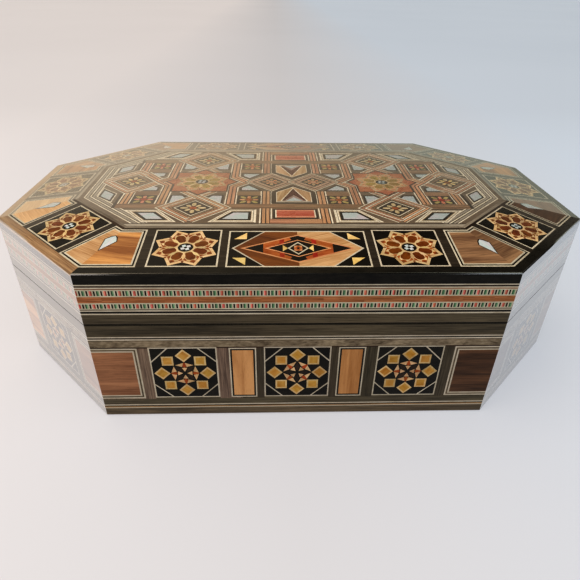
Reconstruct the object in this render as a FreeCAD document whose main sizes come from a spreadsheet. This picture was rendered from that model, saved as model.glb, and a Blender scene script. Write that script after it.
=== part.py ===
"""Octagonal wooden box with marquetry faces, a hinged lid, a velvet lining and two brass butt hinges.

Frame: the origin is the middle of the underside, +X runs along the length, -Y is the front, +Z is up.
Every wall, veneer and border strip is drawn in its side's own frame: x along the side, y from the
outline inwards, z up. All sizes are in millimetres and all angles in degrees.
"""

import FreeCAD, Part
import os

import Sketcher

DIMENSIONS = [
    # outline of the box, seen from above
    ("overall_length", 250.0),
    ("overall_width", 160.0),
    ("corner_cut", 46.0),
    ("mitre", 22.5),
    # heights above the surface that the box stands on
    ("felt_thick", 0.6),
    ("rim_height", 46.9),
    ("seam_gap", 0.25),
    ("board_seat_height", 62.7),
    ("lid_edge_height", 68.9),
    ("border_rise", 3.8),
    # wood and veneer
    ("veneer_thick", 1.5),
    ("wall_thick", 8.0),
    ("base_thick", 6.0),
    ("border_width", 30.3),
    ("border_thick", 1.2),
    ("edge_round", 0.5),
    ("felt_inset", 3.0),
    # velvet on card
    ("lining_thick", 1.2),
    ("floor_pad_thick", 3.0),
    ("lid_pad_thick", 1.5),
    ("lining_setback", 0.5),
    ("lining_clearance", 0.1),
    # hinges: the bevel of each rear edge meets the other when the lid is fully open
    ("axis_inset", 2.6),
    ("rear_bevel", 50.0),
    ("hinge_spacing", 92.0),
    ("hinge_width", 22.0),
    ("middle_knuckle", 8.0),
    ("knuckle_gap", 0.15),
    ("knuckle_radius", 2.0),
    ("knuckle_clearance", 0.25),
    ("pin_radius", 0.9),
    ("pin_clearance", 0.05),
    ("leaf_thick", 1.0),
    ("leaf_depth", 5.9),
    # countersunk screws
    ("screw_spacing", 14.0),
    ("screw_inset", 4.1),
    ("head_radius", 1.5),
    ("shank_radius", 0.8),
    ("head_depth", 0.8),
    ("shank_length", 6.0),
    ("screw_clearance", 0.05),
    ("slot_width", 0.4),
    ("slot_depth", 0.3),
]

TOTAL_WALL = "(Dimensions.wall_thick + Dimensions.veneer_thick)"
LINING_FACE = f"({TOTAL_WALL} + Dimensions.lining_thick + Dimensions.lining_clearance)"
LID_BOTTOM = "(Dimensions.rim_height + Dimensions.seam_gap)"
BORDER_UNDERSIDE = "(Dimensions.lid_edge_height - Dimensions.border_thick)"
PANEL_TOP = "(Dimensions.lid_edge_height + Dimensions.border_rise)"
BORDER_SLOPE = "(Dimensions.border_rise / Dimensions.border_width)"
BASE_TOP = "(Dimensions.felt_thick + Dimensions.base_thick)"
AXIS_Y = "(Dimensions.overall_width / 2 - Dimensions.axis_inset)"
AXIS_Z = "(Dimensions.rim_height + Dimensions.seam_gap / 2)"

LONG_HALF = "(Dimensions.overall_length / 2 - Dimensions.corner_cut)"
SHORT_HALF = "(Dimensions.overall_width / 2 - Dimensions.corner_cut)"
DIAGONAL_HALF = "(Dimensions.corner_cut * sqrt(2) / 2)"
END_X = "(Dimensions.overall_length / 2)"
FACE_Y = "(Dimensions.overall_width / 2)"
CORNER_X = "(Dimensions.overall_length / 2 - Dimensions.corner_cut / 2)"
CORNER_Y = "(Dimensions.overall_width / 2 - Dimensions.corner_cut / 2)"

# side name, turn about Z, half its length at the outline, middle of the side at the outline
SIDES = [
    ("front", 0, LONG_HALF, "0", f"-{FACE_Y}"),
    ("front_right", 45, DIAGONAL_HALF, CORNER_X, f"-{CORNER_Y}"),
    ("right", 90, SHORT_HALF, END_X, "0"),
    ("back_right", 135, DIAGONAL_HALF, CORNER_X, CORNER_Y),
    ("back", 180, LONG_HALF, "0", FACE_Y),
    ("back_left", 225, DIAGONAL_HALF, f"-{CORNER_X}", CORNER_Y),
    ("left", 270, SHORT_HALF, f"-{END_X}", "0"),
    ("front_left", 315, DIAGONAL_HALF, f"-{CORNER_X}", f"-{CORNER_Y}"),
]
REAR_SIDES = ("back_right", "back", "back_left")
HINGE_SIDES = (("left", -1), ("right", 1))

doc = FreeCAD.newDocument("inlaid_box")
sheet = doc.addObject("Spreadsheet::Sheet", "Dimensions")
for row, (alias, value) in enumerate(DIMENSIONS, start=1):
    sheet.set(f"A{row}", alias)
    sheet.set(f"B{row}", str(value))
    sheet.setAlias(f"B{row}", alias)
doc.recompute()

nodes = []


def number(expression):
    """Value of an expression over the sheet, as a plain number."""
    value = sheet.evalExpression(str(expression))
    return float(getattr(value, "Value", value))


def as_node(item, name):
    """Marks a document object as a finished sub-part under its own name."""
    item.Label = name
    nodes.append(item)
    return item


# ---------------------------------------------------------------- sketches and features


def hold(sketch, element, point, x, y):
    """Dimensions a point of a sketch from the origin, with both distances bound to the sheet."""
    for kind, axis, expression in (("DistanceX", -2, x), ("DistanceY", -1, y)):
        value = number(expression)
        if abs(value) < 1e-9:
            sketch.addConstraint(Sketcher.Constraint("PointOnObject", element, point, axis))
            continue
        ends = (-1, 1, element, point) if value > 0 else (element, point, -1, 1)
        index = sketch.addConstraint(Sketcher.Constraint(kind, *ends, abs(value)))
        bound = expression if value > 0 else f"-({expression})"
        sketch.setExpression(f"Constraints[{index}]", bound)


def add_outline(sketch, corners):
    """Draws a closed outline through corners, each an (x, y) pair of expressions."""
    points = [FreeCAD.Vector(number(x), number(y), 0) for x, y in corners]
    count = len(points)
    first = sketch.GeometryCount
    for i in range(count):
        sketch.addGeometry(Part.LineSegment(points[i], points[(i + 1) % count]))
    for i in range(count):
        joined = (first + i, 2, first + (i + 1) % count, 1)
        sketch.addConstraint(Sketcher.Constraint("Coincident", *joined))
    for i, (x, y) in enumerate(corners):
        hold(sketch, first + i, 1, x, y)


def add_circle(sketch, x, y, radius):
    """Draws a circle whose centre and radius are bound to the sheet."""
    centre = FreeCAD.Vector(number(x), number(y), 0)
    element = sketch.addGeometry(Part.Circle(centre, FreeCAD.Vector(0, 0, 1), number(radius)))
    index = sketch.addConstraint(Sketcher.Constraint("Radius", element, number(radius)))
    sketch.setExpression(f"Constraints[{index}]", radius)
    hold(sketch, element, 3, x, y)


def new_body(name):
    return doc.addObject("PartDesign::Body", name)


def new_sketch(body, name, plane="XY_Plane", offset="0"):
    """A sketch on one of the body's own planes, moved along that plane's normal by offset."""
    sketch = body.newObject("Sketcher::SketchObject", name)
    origin_plane = next(f for f in body.Origin.OriginFeatures if f.Role == plane)
    sketch.AttachmentSupport = [(origin_plane, "")]
    sketch.MapMode = "FlatFace"
    if offset != "0":
        sketch.setExpression("AttachmentOffset.Base.z", offset)
    doc.recompute()
    return sketch


def add_pad(body, sketch, length, middle=False):
    pad = body.newObject("PartDesign::Pad", f"{sketch.Name}_pad")
    pad.Profile = sketch
    pad.Midplane = middle
    pad.setExpression("Length", length)
    doc.recompute()
    return pad


def cut_through(body, sketch):
    """Cuts a sketch's outlines through the whole body, both ways."""
    pocket = body.newObject("PartDesign::Pocket", f"{sketch.Name}_cut")
    pocket.Profile = sketch
    pocket.Type = "ThroughAll"
    pocket.Midplane = True
    doc.recompute()
    return pocket


def place(item, x="0", y="0", z="0", turn=0):
    """Turns an object about Z and binds its position to the sheet."""
    item.Placement = FreeCAD.Placement(FreeCAD.Vector(), FreeCAD.Rotation(FreeCAD.Vector(0, 0, 1), turn))
    for axis, expression in (("x", x), ("y", y), ("z", z)):
        if expression != "0":
            item.setExpression(f"Placement.Base.{axis}", expression)


# ---------------------------------------------------------------- shapes in plan


def octagon(inset):
    """Corners of the box's outline moved inwards by inset, anticlockwise from the front left."""
    end = f"({END_X} - {inset})"
    face = f"({FACE_Y} - {inset})"
    long_half = f"({LONG_HALF} - {inset} * tan(Dimensions.mitre))"
    short_half = f"({SHORT_HALF} - {inset} * tan(Dimensions.mitre))"
    return [
        (f"-{long_half}", f"-{face}"),
        (long_half, f"-{face}"),
        (end, f"-{short_half}"),
        (end, short_half),
        (long_half, face),
        (f"-{long_half}", face),
        (f"-{end}", short_half),
        (f"-{end}", f"-{short_half}"),
    ]


def octagonal_slab(name, inset, low, height):
    """A flat octagonal board or pad."""
    body = new_body(name)
    sketch = new_sketch(body, f"{name}_outline", offset=low)
    add_outline(sketch, octagon(inset))
    add_pad(body, sketch, height)
    return as_node(body, name)


def octagonal_ring(name, inset, thickness, low, height):
    """An upright lining that follows the inside of the walls."""
    body = new_body(name)
    sketch = new_sketch(body, f"{name}_outline", offset=low)
    add_outline(sketch, octagon(inset))
    add_outline(sketch, octagon(f"({inset} + {thickness})"))
    add_pad(body, sketch, height)
    return as_node(body, name)


def mitred_half(half, depth):
    """Half the length of a side at a depth inside the outline."""
    return f"({half} - {depth} * tan(Dimensions.mitre))"


def mitred_board(name, side, start, thickness, low, height):
    """An upright board or veneer of one side, mitred at both ends."""
    _, turn, half, x, y = side
    stop = f"({start} + {thickness})"
    body = new_body(name)
    sketch = new_sketch(body, f"{name}_plan", offset=low)
    outer = mitred_half(half, start)
    inner = mitred_half(half, stop)
    corners = [(f"-{outer}", start), (outer, start), (inner, stop), (f"-{inner}", stop)]
    add_outline(sketch, corners)
    add_pad(body, sketch, height)
    place(body, x=x, y=y, turn=turn)
    return body


# ---------------------------------------------------------------- rear edge and hinge seats


def hinge_x(sign):
    return f"({sign} * Dimensions.hinge_spacing / 2)"


def hinge_seat(side, sign):
    """What a hinge takes out of the rear edges: a groove round its knuckles, a seat for both leaves."""
    length = "(Dimensions.hinge_width + 4 * Dimensions.knuckle_gap)"
    groove = doc.addObject("Part::Cylinder", f"knuckle_groove_{side}")
    groove.setExpression("Radius", "Dimensions.knuckle_radius + Dimensions.knuckle_clearance")
    groove.setExpression("Height", length)
    groove.Placement.Rotation = FreeCAD.Rotation(FreeCAD.Vector(0, 1, 0), 90)
    groove.setExpression("Placement.Base.x", f"{hinge_x(sign)} - {length} / 2")
    groove.setExpression("Placement.Base.y", AXIS_Y)
    groove.setExpression("Placement.Base.z", AXIS_Z)
    seat = doc.addObject("Part::Box", f"leaf_seat_{side}")
    depth = "(Dimensions.leaf_depth + Dimensions.knuckle_gap)"
    seat.setExpression("Length", length)
    seat.setExpression("Width", depth)
    seat.setExpression("Height", "Dimensions.seam_gap + 2 * Dimensions.leaf_thick")
    place(
        seat,
        x=f"{hinge_x(sign)} - {length} / 2",
        y=f"{AXIS_Y} - {depth}",
        z="Dimensions.rim_height - Dimensions.leaf_thick",
    )
    return [groove, seat]


def rear_bevel():
    """The V that the two bevelled rear edges make: its point lies on the hinge axis."""
    body = new_body("rear_bevel")
    sketch = new_sketch(body, "rear_bevel_profile", plane="YZ_Plane")
    reach = "(2 * Dimensions.axis_inset)"
    rise = f"({reach} * tan(Dimensions.rear_bevel))"
    add_outline(sketch, [("0", "0"), (reach, f"-{rise}"), (reach, rise)])
    add_pad(body, sketch, "Dimensions.overall_length", middle=True)
    place(body, y=AXIS_Y, z=AXIS_Z)
    return body


rear_cutters = [rear_bevel()]
for hinge_side, hinge_sign in HINGE_SIDES:
    rear_cutters += hinge_seat(hinge_side, hinge_sign)
rear_tool = doc.addObject("Part::MultiFuse", "rear_edge_cutter")
rear_tool.Shapes = rear_cutters
doc.recompute()


def side_piece(name, side, start, thickness, low, height):
    """A board or veneer of one side, cut for the bevel and the hinges where it is at the back."""
    body = mitred_board(name, side, start, thickness, low, height)
    if side[0] not in REAR_SIDES:
        return as_node(body, name)
    body.Label = f"{name}_blank"
    trimmed = doc.addObject("Part::Cut", f"{name}_trimmed")
    trimmed.Base = body
    trimmed.Tool = rear_tool
    return as_node(trimmed, name)


# ---------------------------------------------------------------- walls and veneers


def build_walls():
    body_low = "Dimensions.felt_thick"
    body_high = "Dimensions.rim_height - Dimensions.felt_thick"
    wall_high = f"Dimensions.board_seat_height - {LID_BOTTOM}"
    veneer_high = f"{BORDER_UNDERSIDE} - {LID_BOTTOM}"
    for side in SIDES:
        name = side[0]
        wall = ("Dimensions.veneer_thick", "Dimensions.wall_thick")
        veneer = ("0", "Dimensions.veneer_thick")
        side_piece(f"body_wall_{name}", side, *wall, body_low, body_high)
        side_piece(f"body_veneer_{name}", side, *veneer, body_low, body_high)
        side_piece(f"lid_wall_{name}", side, *wall, LID_BOTTOM, wall_high)
        side_piece(f"lid_veneer_{name}", side, *veneer, LID_BOTTOM, veneer_high)


def outer_top_edge(shape):
    """Name of the edge along the outline at the top of a border strip, in the side's own frame."""
    top = number("Dimensions.lid_edge_height")
    for index, edge in enumerate(shape.Edges, start=1):
        ends = [v.Point for v in edge.Vertexes]
        if len(ends) == 2 and all(abs(p.y) < 1e-6 and abs(p.z - top) < 1e-6 for p in ends):
            return f"Edge{index}"
    raise RuntimeError("the border strip has no outer top edge")


def border_strip(side):
    """A sloping strip of marquetry round the lid: it falls towards the outline."""
    name, turn, half, x, y = side
    label = f"lid_border_{name}"
    body = new_body(label)
    profile = new_sketch(body, f"{label}_profile", plane="YZ_Plane")
    width = "Dimensions.border_width"
    inner_low = f"({BORDER_UNDERSIDE} + Dimensions.border_rise)"
    corners = [
        ("0", BORDER_UNDERSIDE),
        (width, inner_low),
        (width, PANEL_TOP),
        ("0", "Dimensions.lid_edge_height"),
    ]
    add_outline(profile, corners)
    add_pad(body, profile, f"2 * {half}", middle=True)
    mitres = new_sketch(body, f"{label}_mitres")
    inner = mitred_half(half, width)
    add_outline(mitres, [(half, "0"), (half, width), (inner, width)])
    add_outline(mitres, [(f"-{half}", "0"), (f"-{half}", width), (f"-{inner}", width)])
    cut = cut_through(body, mitres)
    fillet = body.newObject("PartDesign::Fillet", f"{label}_round")
    fillet.Base = (cut, [outer_top_edge(cut.Shape)])
    fillet.setExpression("Radius", "Dimensions.edge_round")
    place(body, x=x, y=y, turn=turn)
    return as_node(body, label)


def lid_board():
    """The board of the lid: flat where it sits on the walls, bevelled under the border strips."""
    body = new_body("lid_board")
    low = "Dimensions.board_seat_height"
    edge = f"({BORDER_UNDERSIDE} + Dimensions.veneer_thick * {BORDER_SLOPE})"
    crown = f"({BORDER_UNDERSIDE} + Dimensions.border_rise)"
    foot = new_sketch(body, "lid_board_foot", offset=low)
    add_outline(foot, octagon("Dimensions.veneer_thick"))
    add_pad(body, foot, f"{edge} - {low}")
    shoulder = new_sketch(body, "lid_board_shoulder", offset=edge)
    add_outline(shoulder, octagon("Dimensions.veneer_thick"))
    top = new_sketch(body, "lid_board_crown", offset=crown)
    add_outline(top, octagon("Dimensions.border_width"))
    bevel = body.newObject("PartDesign::AdditiveLoft", "lid_board_bevel")
    bevel.Profile = shoulder
    bevel.Sections = [top]
    bevel.Ruled = True
    doc.recompute()
    return as_node(body, "lid_board")


# ---------------------------------------------------------------- hinges


def knuckle_zones(leaf):
    """(middle, length) along the axis of each knuckle of a leaf, as expressions."""
    middle_length = "Dimensions.middle_knuckle"
    if leaf == "lid":
        return [("0", middle_length)]
    inner_end = f"({middle_length} / 2 + Dimensions.knuckle_gap)"
    outer_end = "(Dimensions.hinge_width / 2)"
    middle = f"(({inner_end} + {outer_end}) / 2)"
    length = f"({outer_end} - {inner_end})"
    return [(middle, length), (f"-{middle}", length)]


def hinge_leaf(leaf, side, sign):
    """One leaf of a butt hinge, drawn on the hinge axis: plate, knuckles, pin hole and screw holes."""
    label = f"hinge_leaf_{leaf}_{side}"
    body = new_body(label)
    hollow = "(Dimensions.knuckle_radius + Dimensions.knuckle_clearance)"
    low = "(Dimensions.seam_gap / 2)"
    if leaf == "body":
        low = "(-Dimensions.seam_gap / 2 - Dimensions.leaf_thick)"
    half = "(Dimensions.hinge_width / 2)"
    plate = new_sketch(body, f"{label}_plate", offset=low)
    back = "(-Dimensions.leaf_depth)"
    front = f"-{hollow}"
    add_outline(plate, [(f"-{half}", back), (half, back), (half, front), (f"-{half}", front)])
    add_pad(body, plate, "Dimensions.leaf_thick")
    hole_radius = "Dimensions.pin_radius"
    if leaf == "lid":
        hole_radius = "Dimensions.pin_radius + Dimensions.pin_clearance"
    for number, (middle, length) in enumerate(knuckle_zones(leaf)):
        stem = f"{label}_knuckle_{number}"
        bridge = new_sketch(body, f"{stem}_bridge", offset=low)
        left = f"({middle} - {length} / 2)"
        right = f"({middle} + {length} / 2)"
        add_outline(bridge, [(left, front), (right, front), (right, "0"), (left, "0")])
        add_pad(body, bridge, "Dimensions.leaf_thick")
        barrel = new_sketch(body, stem, plane="YZ_Plane", offset=middle)
        add_circle(barrel, "0", "0", "Dimensions.knuckle_radius")
        add_pad(body, barrel, length, middle=True)
    bore = new_sketch(body, f"{label}_bore", plane="YZ_Plane")
    add_circle(bore, "0", "0", hole_radius)
    cut_through(body, bore)
    place(body, x=hinge_x(sign), y=AXIS_Y, z=AXIS_Z)
    doc.recompute()
    countersunk = doc.addObject("Part::Cut", f"{label}_drilled")
    countersunk.Base = body
    countersunk.Tool = screw_set(f"{label}_holes", leaf, [sign], "Dimensions.screw_clearance")
    body.Label = f"{label}_blank"
    return as_node(countersunk, label)


def hinge_pin(side, sign):
    pin = doc.addObject("Part::Cylinder", f"hinge_pin_{side}")
    pin.setExpression("Radius", "Dimensions.pin_radius")
    pin.setExpression("Height", "Dimensions.hinge_width")
    pin.Placement.Rotation = FreeCAD.Rotation(FreeCAD.Vector(0, 1, 0), 90)
    pin.setExpression("Placement.Base.x", f"{hinge_x(sign)} - Dimensions.hinge_width / 2")
    pin.setExpression("Placement.Base.y", AXIS_Y)
    pin.setExpression("Placement.Base.z", AXIS_Z)
    return as_node(pin, f"hinge_pin_{side}")


# ---------------------------------------------------------------- screws


def screw(name, leaf, x, growth):
    """A countersunk screw, its head flush with the leaf: down into the body, or up into the lid."""
    turn = FreeCAD.Rotation(FreeCAD.Vector(1, 0, 0), 180 if leaf == "body" else 0)
    face = f"({AXIS_Z} + Dimensions.seam_gap / 2)"
    if leaf == "body":
        face = f"({AXIS_Z} - Dimensions.seam_gap / 2)"
    head = doc.addObject("Part::Cone", f"{name}_head")
    head.setExpression("Radius1", f"Dimensions.head_radius + {growth}")
    head.setExpression("Radius2", f"Dimensions.shank_radius + {growth}")
    head.setExpression("Height", "Dimensions.head_depth")
    shank = doc.addObject("Part::Cylinder", f"{name}_shank")
    shank.setExpression("Radius", f"Dimensions.shank_radius + {growth}")
    shank.setExpression("Height", "Dimensions.shank_length")
    for item in (head, shank):
        item.Placement.Rotation = turn
        item.setExpression("Placement.Base.x", x)
        item.setExpression("Placement.Base.y", f"{AXIS_Y} - Dimensions.screw_inset")
        item.setExpression("Placement.Base.z", face)
    return [head, shank]


def screw_set(name, leaf, signs, growth):
    """The screws of the hinges named by signs, or the holes for them when growth isn't zero."""
    parts = []
    for sign in signs:
        for end in (-1, 1):
            x = f"{hinge_x(sign)} + {end} * Dimensions.screw_spacing / 2"
            parts += screw(f"{name}_{len(parts)}", leaf, x, growth)
    joined = doc.addObject("Part::MultiFuse", f"{name}_joined")
    joined.Shapes = parts
    doc.recompute()
    return joined


def hinge_screws(leaf):
    """The four identical screws of one kind of leaf, each with a straight slot across its head."""
    label = f"hinge_screws_{leaf}"
    signs = [sign for _, sign in HINGE_SIDES]
    blanks = screw_set(label, leaf, signs, "0")
    low = f"({AXIS_Z} + Dimensions.seam_gap / 2)"
    if leaf == "body":
        low = f"({AXIS_Z} - Dimensions.seam_gap / 2 - Dimensions.slot_depth)"
    slots = []
    for sign in signs:
        for end in (-1, 1):
            slot = doc.addObject("Part::Box", f"{label}_slot_{len(slots)}")
            slot.setExpression("Length", "Dimensions.slot_width")
            slot.setExpression("Width", "2 * Dimensions.head_radius")
            slot.setExpression("Height", "Dimensions.slot_depth")
            centre = f"{hinge_x(sign)} + {end} * Dimensions.screw_spacing / 2"
            place(
                slot,
                x=f"{centre} - Dimensions.slot_width / 2",
                y=f"{AXIS_Y} - Dimensions.screw_inset - Dimensions.head_radius",
                z=low,
            )
            slots.append(slot)
    slot_tool = doc.addObject("Part::MultiFuse", f"{label}_slots")
    slot_tool.Shapes = slots
    slotted = doc.addObject("Part::Cut", f"{label}_slotted")
    slotted.Base = blanks
    slotted.Tool = slot_tool
    return as_node(slotted, label)


# ---------------------------------------------------------------- the whole box


def build_linings():
    floor_low = BASE_TOP
    octagonal_slab("floor_lining", LINING_FACE, floor_low, "Dimensions.floor_pad_thick")
    wall_high = f"Dimensions.rim_height - Dimensions.lining_setback - {floor_low}"
    octagonal_ring("wall_lining", TOTAL_WALL, "Dimensions.lining_thick", floor_low, wall_high)
    pad_low = "(Dimensions.board_seat_height - Dimensions.lid_pad_thick)"
    octagonal_slab("lid_top_lining", LINING_FACE, pad_low, "Dimensions.lid_pad_thick")
    lid_low = f"({LID_BOTTOM} + Dimensions.lining_setback)"
    lid_high = f"Dimensions.board_seat_height - {lid_low}"
    octagonal_ring("lid_wall_lining", TOTAL_WALL, "Dimensions.lining_thick", lid_low, lid_high)


octagonal_slab("base_felt", "Dimensions.felt_inset", "0", "Dimensions.felt_thick")
octagonal_slab("base_board", TOTAL_WALL, "Dimensions.felt_thick", "Dimensions.base_thick")
build_walls()
build_linings()
lid_board()
for border_side in SIDES:
    border_strip(border_side)
octagonal_slab(
    "lid_panel",
    "Dimensions.border_width",
    f"({PANEL_TOP} - Dimensions.border_thick)",
    "Dimensions.border_thick",
)
for hinge_side, hinge_sign in HINGE_SIDES:
    hinge_leaf("body", hinge_side, hinge_sign)
    hinge_leaf("lid", hinge_side, hinge_sign)
    hinge_pin(hinge_side, hinge_sign)
hinge_screws("body")
hinge_screws("lid")
doc.recompute()

failed = [item.Name for item in doc.Objects if {"Invalid", "Error"} & set(item.State)]
if failed:
    raise RuntimeError(f"these objects did not compute: {failed}")
for node in nodes:
    if node.Shape.isNull() or not node.Shape.isValid():
        raise RuntimeError(f"{node.Label} has no valid shape")

os.makedirs("parts", exist_ok=True)
for node in nodes:
    node.Shape.exportStep(f"parts/{node.Label}.step")
    print(f"{node.Label:28s} solids {len(node.Shape.Solids)}  volume {node.Shape.Volume:10.2f} mm3")
print(f"{len(nodes)} nodes")
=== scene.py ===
"""Looks of an octagonal wooden box covered with marquetry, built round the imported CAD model.

Every veneered face is drawn flat, as pieces of wood, bone and mother-of-pearl laid over one another.
The drawing is then cut into one flush sheet, as marquetry is, given its thickness and put in place.
Drawings are in modules: one module is half the length of the front. Everything else is in metres.
"""

import itertools
import math
import random
from collections import namedtuple

import bmesh
import bpy
import numpy as np
from mathutils import Matrix, Vector
from mathutils.geometry import delaunay_2d_cdt


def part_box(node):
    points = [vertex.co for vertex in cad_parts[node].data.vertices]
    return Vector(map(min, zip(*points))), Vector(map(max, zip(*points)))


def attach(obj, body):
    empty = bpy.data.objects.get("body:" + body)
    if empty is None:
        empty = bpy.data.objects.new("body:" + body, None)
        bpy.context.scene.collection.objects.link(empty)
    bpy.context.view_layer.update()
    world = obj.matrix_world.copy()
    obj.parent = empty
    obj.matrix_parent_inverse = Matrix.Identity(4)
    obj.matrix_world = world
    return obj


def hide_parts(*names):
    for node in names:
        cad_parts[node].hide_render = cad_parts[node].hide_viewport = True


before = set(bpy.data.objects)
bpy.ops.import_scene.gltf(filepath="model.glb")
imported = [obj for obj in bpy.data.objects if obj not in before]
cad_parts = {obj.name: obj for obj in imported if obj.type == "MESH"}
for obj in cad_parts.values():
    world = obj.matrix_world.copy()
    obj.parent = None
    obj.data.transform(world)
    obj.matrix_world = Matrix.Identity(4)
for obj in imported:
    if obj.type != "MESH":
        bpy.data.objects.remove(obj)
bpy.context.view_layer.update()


# ---------------- measures, from the frame

FRONT_LOW, FRONT_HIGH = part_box("body_veneer_front")
LID_FRONT_LOW, LID_FRONT_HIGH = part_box("lid_veneer_front")
BORDER_LOW, BORDER_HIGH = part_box("lid_border_front")
PANEL_LOW, PANEL_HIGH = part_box("lid_panel")
PIN_LOW, PIN_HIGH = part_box("hinge_pin_right")

MODULE = FRONT_HIGH.x
END_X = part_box("body_veneer_right")[1].x
FACE_Y = -FRONT_LOW.y
CORNER_CUT = END_X - MODULE
VENEER = FRONT_HIGH.y - FRONT_LOW.y
FOOT_Z = FRONT_LOW.z
RIM_Z = FRONT_HIGH.z
LID_LOW_Z = LID_FRONT_LOW.z
LID_SIDE_TOP_Z = LID_FRONT_HIGH.z
PANEL_Z = PANEL_HIGH.z
PANEL_THICK = PANEL_HIGH.z - PANEL_LOW.z
BORDER_WIDTH = BORDER_HIGH.y - BORDER_LOW.y
LID_EDGE_Z = BORDER_LOW.z + PANEL_THICK
BORDER_RISE = PANEL_Z - LID_EDGE_Z
AXIS = (PIN_LOW + PIN_HIGH) / 2
MITRE = math.tan(math.radians(22.5))

SIDE_NAMES = ("front", "front_right", "right", "back_right", "back", "back_left", "left", "front_left")
REAR_SIDES = ("back_right", "back", "back_left")
HINGE_SIDES = ("left", "right")
# the word in the names of the nodes, and the body that they belong to
BODIES = {"body": "box", "lid": "lid"}

EDGE_ROUND = 0.0005
ROUND_STEPS = 4
REAR_BEVEL = math.radians(50)
GROOVE_RADIUS = 0.00225
GROOVE_SPARE = 0.0003
GROOVE_STEPS = 32
LINING_THICK = 0.0012
LINING_STEPS = 6
SHARP_FOLD = math.radians(35)
PAD_SPACING = 0.004
PAD_ROLL = 0.0045
PAD_CROWN = 0.045
# distances from the edge of a pad at which its mesh has a ring of points
EDGE_RINGS = (0.0003, 0.0008, 0.0016, 0.0028, 0.0045, 0.007)

# heights in the drawings of the sides, and distances in those of the border, all in modules
RIM = (RIM_Z - FOOT_Z) / MODULE
LID_LOW = (LID_LOW_Z - FOOT_Z) / MODULE
LID_SIDE_TOP = (LID_SIDE_TOP_Z - FOOT_Z) / MODULE
BORDER = BORDER_WIDTH / MODULE
# sides whose half is longer than this have the drawing of a long side
LONG_SIDE = 0.9
RING_TILE = 0.166
LINE = 0.008
# width of the ebony strips on both sides of the gap between box and lid: painted shade of that gap
GAP_SHADE_WIDTH = 0.004
CUT_TOLERANCE = 1e-5
GRID_TOLERANCE = 1e-7

# where the cut edges of the veneer lie in the pattern of the wood, and their place between light and dark
EDGE_GRAIN = (0.3, 0.4)
ROUND_GRAIN = 0.2
EVEN_TONE = (0.5, 0.5)


# ---------------- plane geometry


def octagon(distance):
    """Corners of the box's outline moved inwards, in metres, anticlockwise from the front left."""
    long_half = MODULE - distance * MITRE
    short_half = FACE_Y - CORNER_CUT - distance * MITRE
    end, face = END_X - distance, FACE_Y - distance
    front = [(-long_half, -face), (long_half, -face), (end, -short_half), (end, short_half)]
    return [Vector(p) for p in front] + [-Vector(p) for p in front]


def left_of(direction):
    return Vector((-direction.y, direction.x))


def polar(radius, degrees):
    angle = math.radians(degrees)
    return Vector((radius * math.cos(angle), radius * math.sin(angle)))


def rectangle(x0, x1, y0, y1):
    return [(x0, y0), (x1, y0), (x1, y1), (x0, y1)]


def diamond(x, y, half_x, half_y):
    return [(x + half_x, y), (x, y + half_y), (x - half_x, y), (x, y - half_y)]


def star(points, outer, inner, turn=0.0):
    """A star's outline: tips at the outer radius, valleys at the inner one."""
    step = 180.0 / points
    return [polar((outer, inner)[i % 2], turn + i * step) for i in range(2 * points)]


def oval(x, half_x, half_y):
    """A petal on the x axis, a little squarer than an ellipse."""
    count, rounding = 12, 0.8

    def part(value, half):
        return math.copysign(abs(value) ** rounding, value) * half

    angles = (math.tau * (i + 0.5) / count for i in range(count))
    return [(x + part(math.cos(a), half_x), part(math.sin(a), half_y)) for a in angles]


def signed_area(points):
    pairs = zip(points, points[1:] + points[:1])
    return sum(a[0] * b[1] - a[1] * b[0] for a, b in pairs) / 2


def shifted_corners(points, distance, closed):
    """A line moved to its left, with its corners on the mitres."""
    moved = []
    last = len(points) - 1
    for i, point in enumerate(points):
        before = point - points[i - 1] if closed or i > 0 else points[1] - point
        after = points[(i + 1) % len(points)] - point if closed or i < last else before
        first, second = left_of(before.normalized()), left_of(after.normalized())
        mitre = (first + second).normalized()
        moved.append(point + mitre * (distance / mitre.dot(first)))
    return moved


def inside(points, outline):
    """Which points of an array lie inside an outline: those with an odd number of its edges beyond."""
    x, y = points.T
    within = np.zeros(len(points), bool)
    for (x0, y0), (x1, y1) in zip(outline, outline[1:] + outline[:1]):
        if y0 != y1:
            spans = (y0 > y) != (y1 > y)
            within ^= spans & (x < x0 + (y - y0) * (x1 - x0) / (y1 - y0))
    return within


def inset(points, distance):
    """A closed outline moved inwards."""
    points = [Vector(p) for p in points]
    inwards = distance if signed_area(points) > 0 else -distance
    return shifted_corners(points, inwards, closed=True)


def ribbon(route, width):
    """The quads of a band of even width along a route, mitred where it turns."""
    route = [Vector(p) for p in route]
    closed = route[0] == route[-1]
    if closed:
        route = route[:-1]
    left = shifted_corners(route, width / 2, closed)
    right = shifted_corners(route, -width / 2, closed)
    count = len(route) if closed else len(route) - 1
    for i in range(count):
        j = (i + 1) % len(route)
        run = route[j] - route[i]
        yield [right[i], right[j], left[j], left[i]], math.degrees(math.atan2(run.y, run.x))


# ---------------- drawings

Piece = namedtuple("Piece", "points wood grain shift tone")


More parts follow.
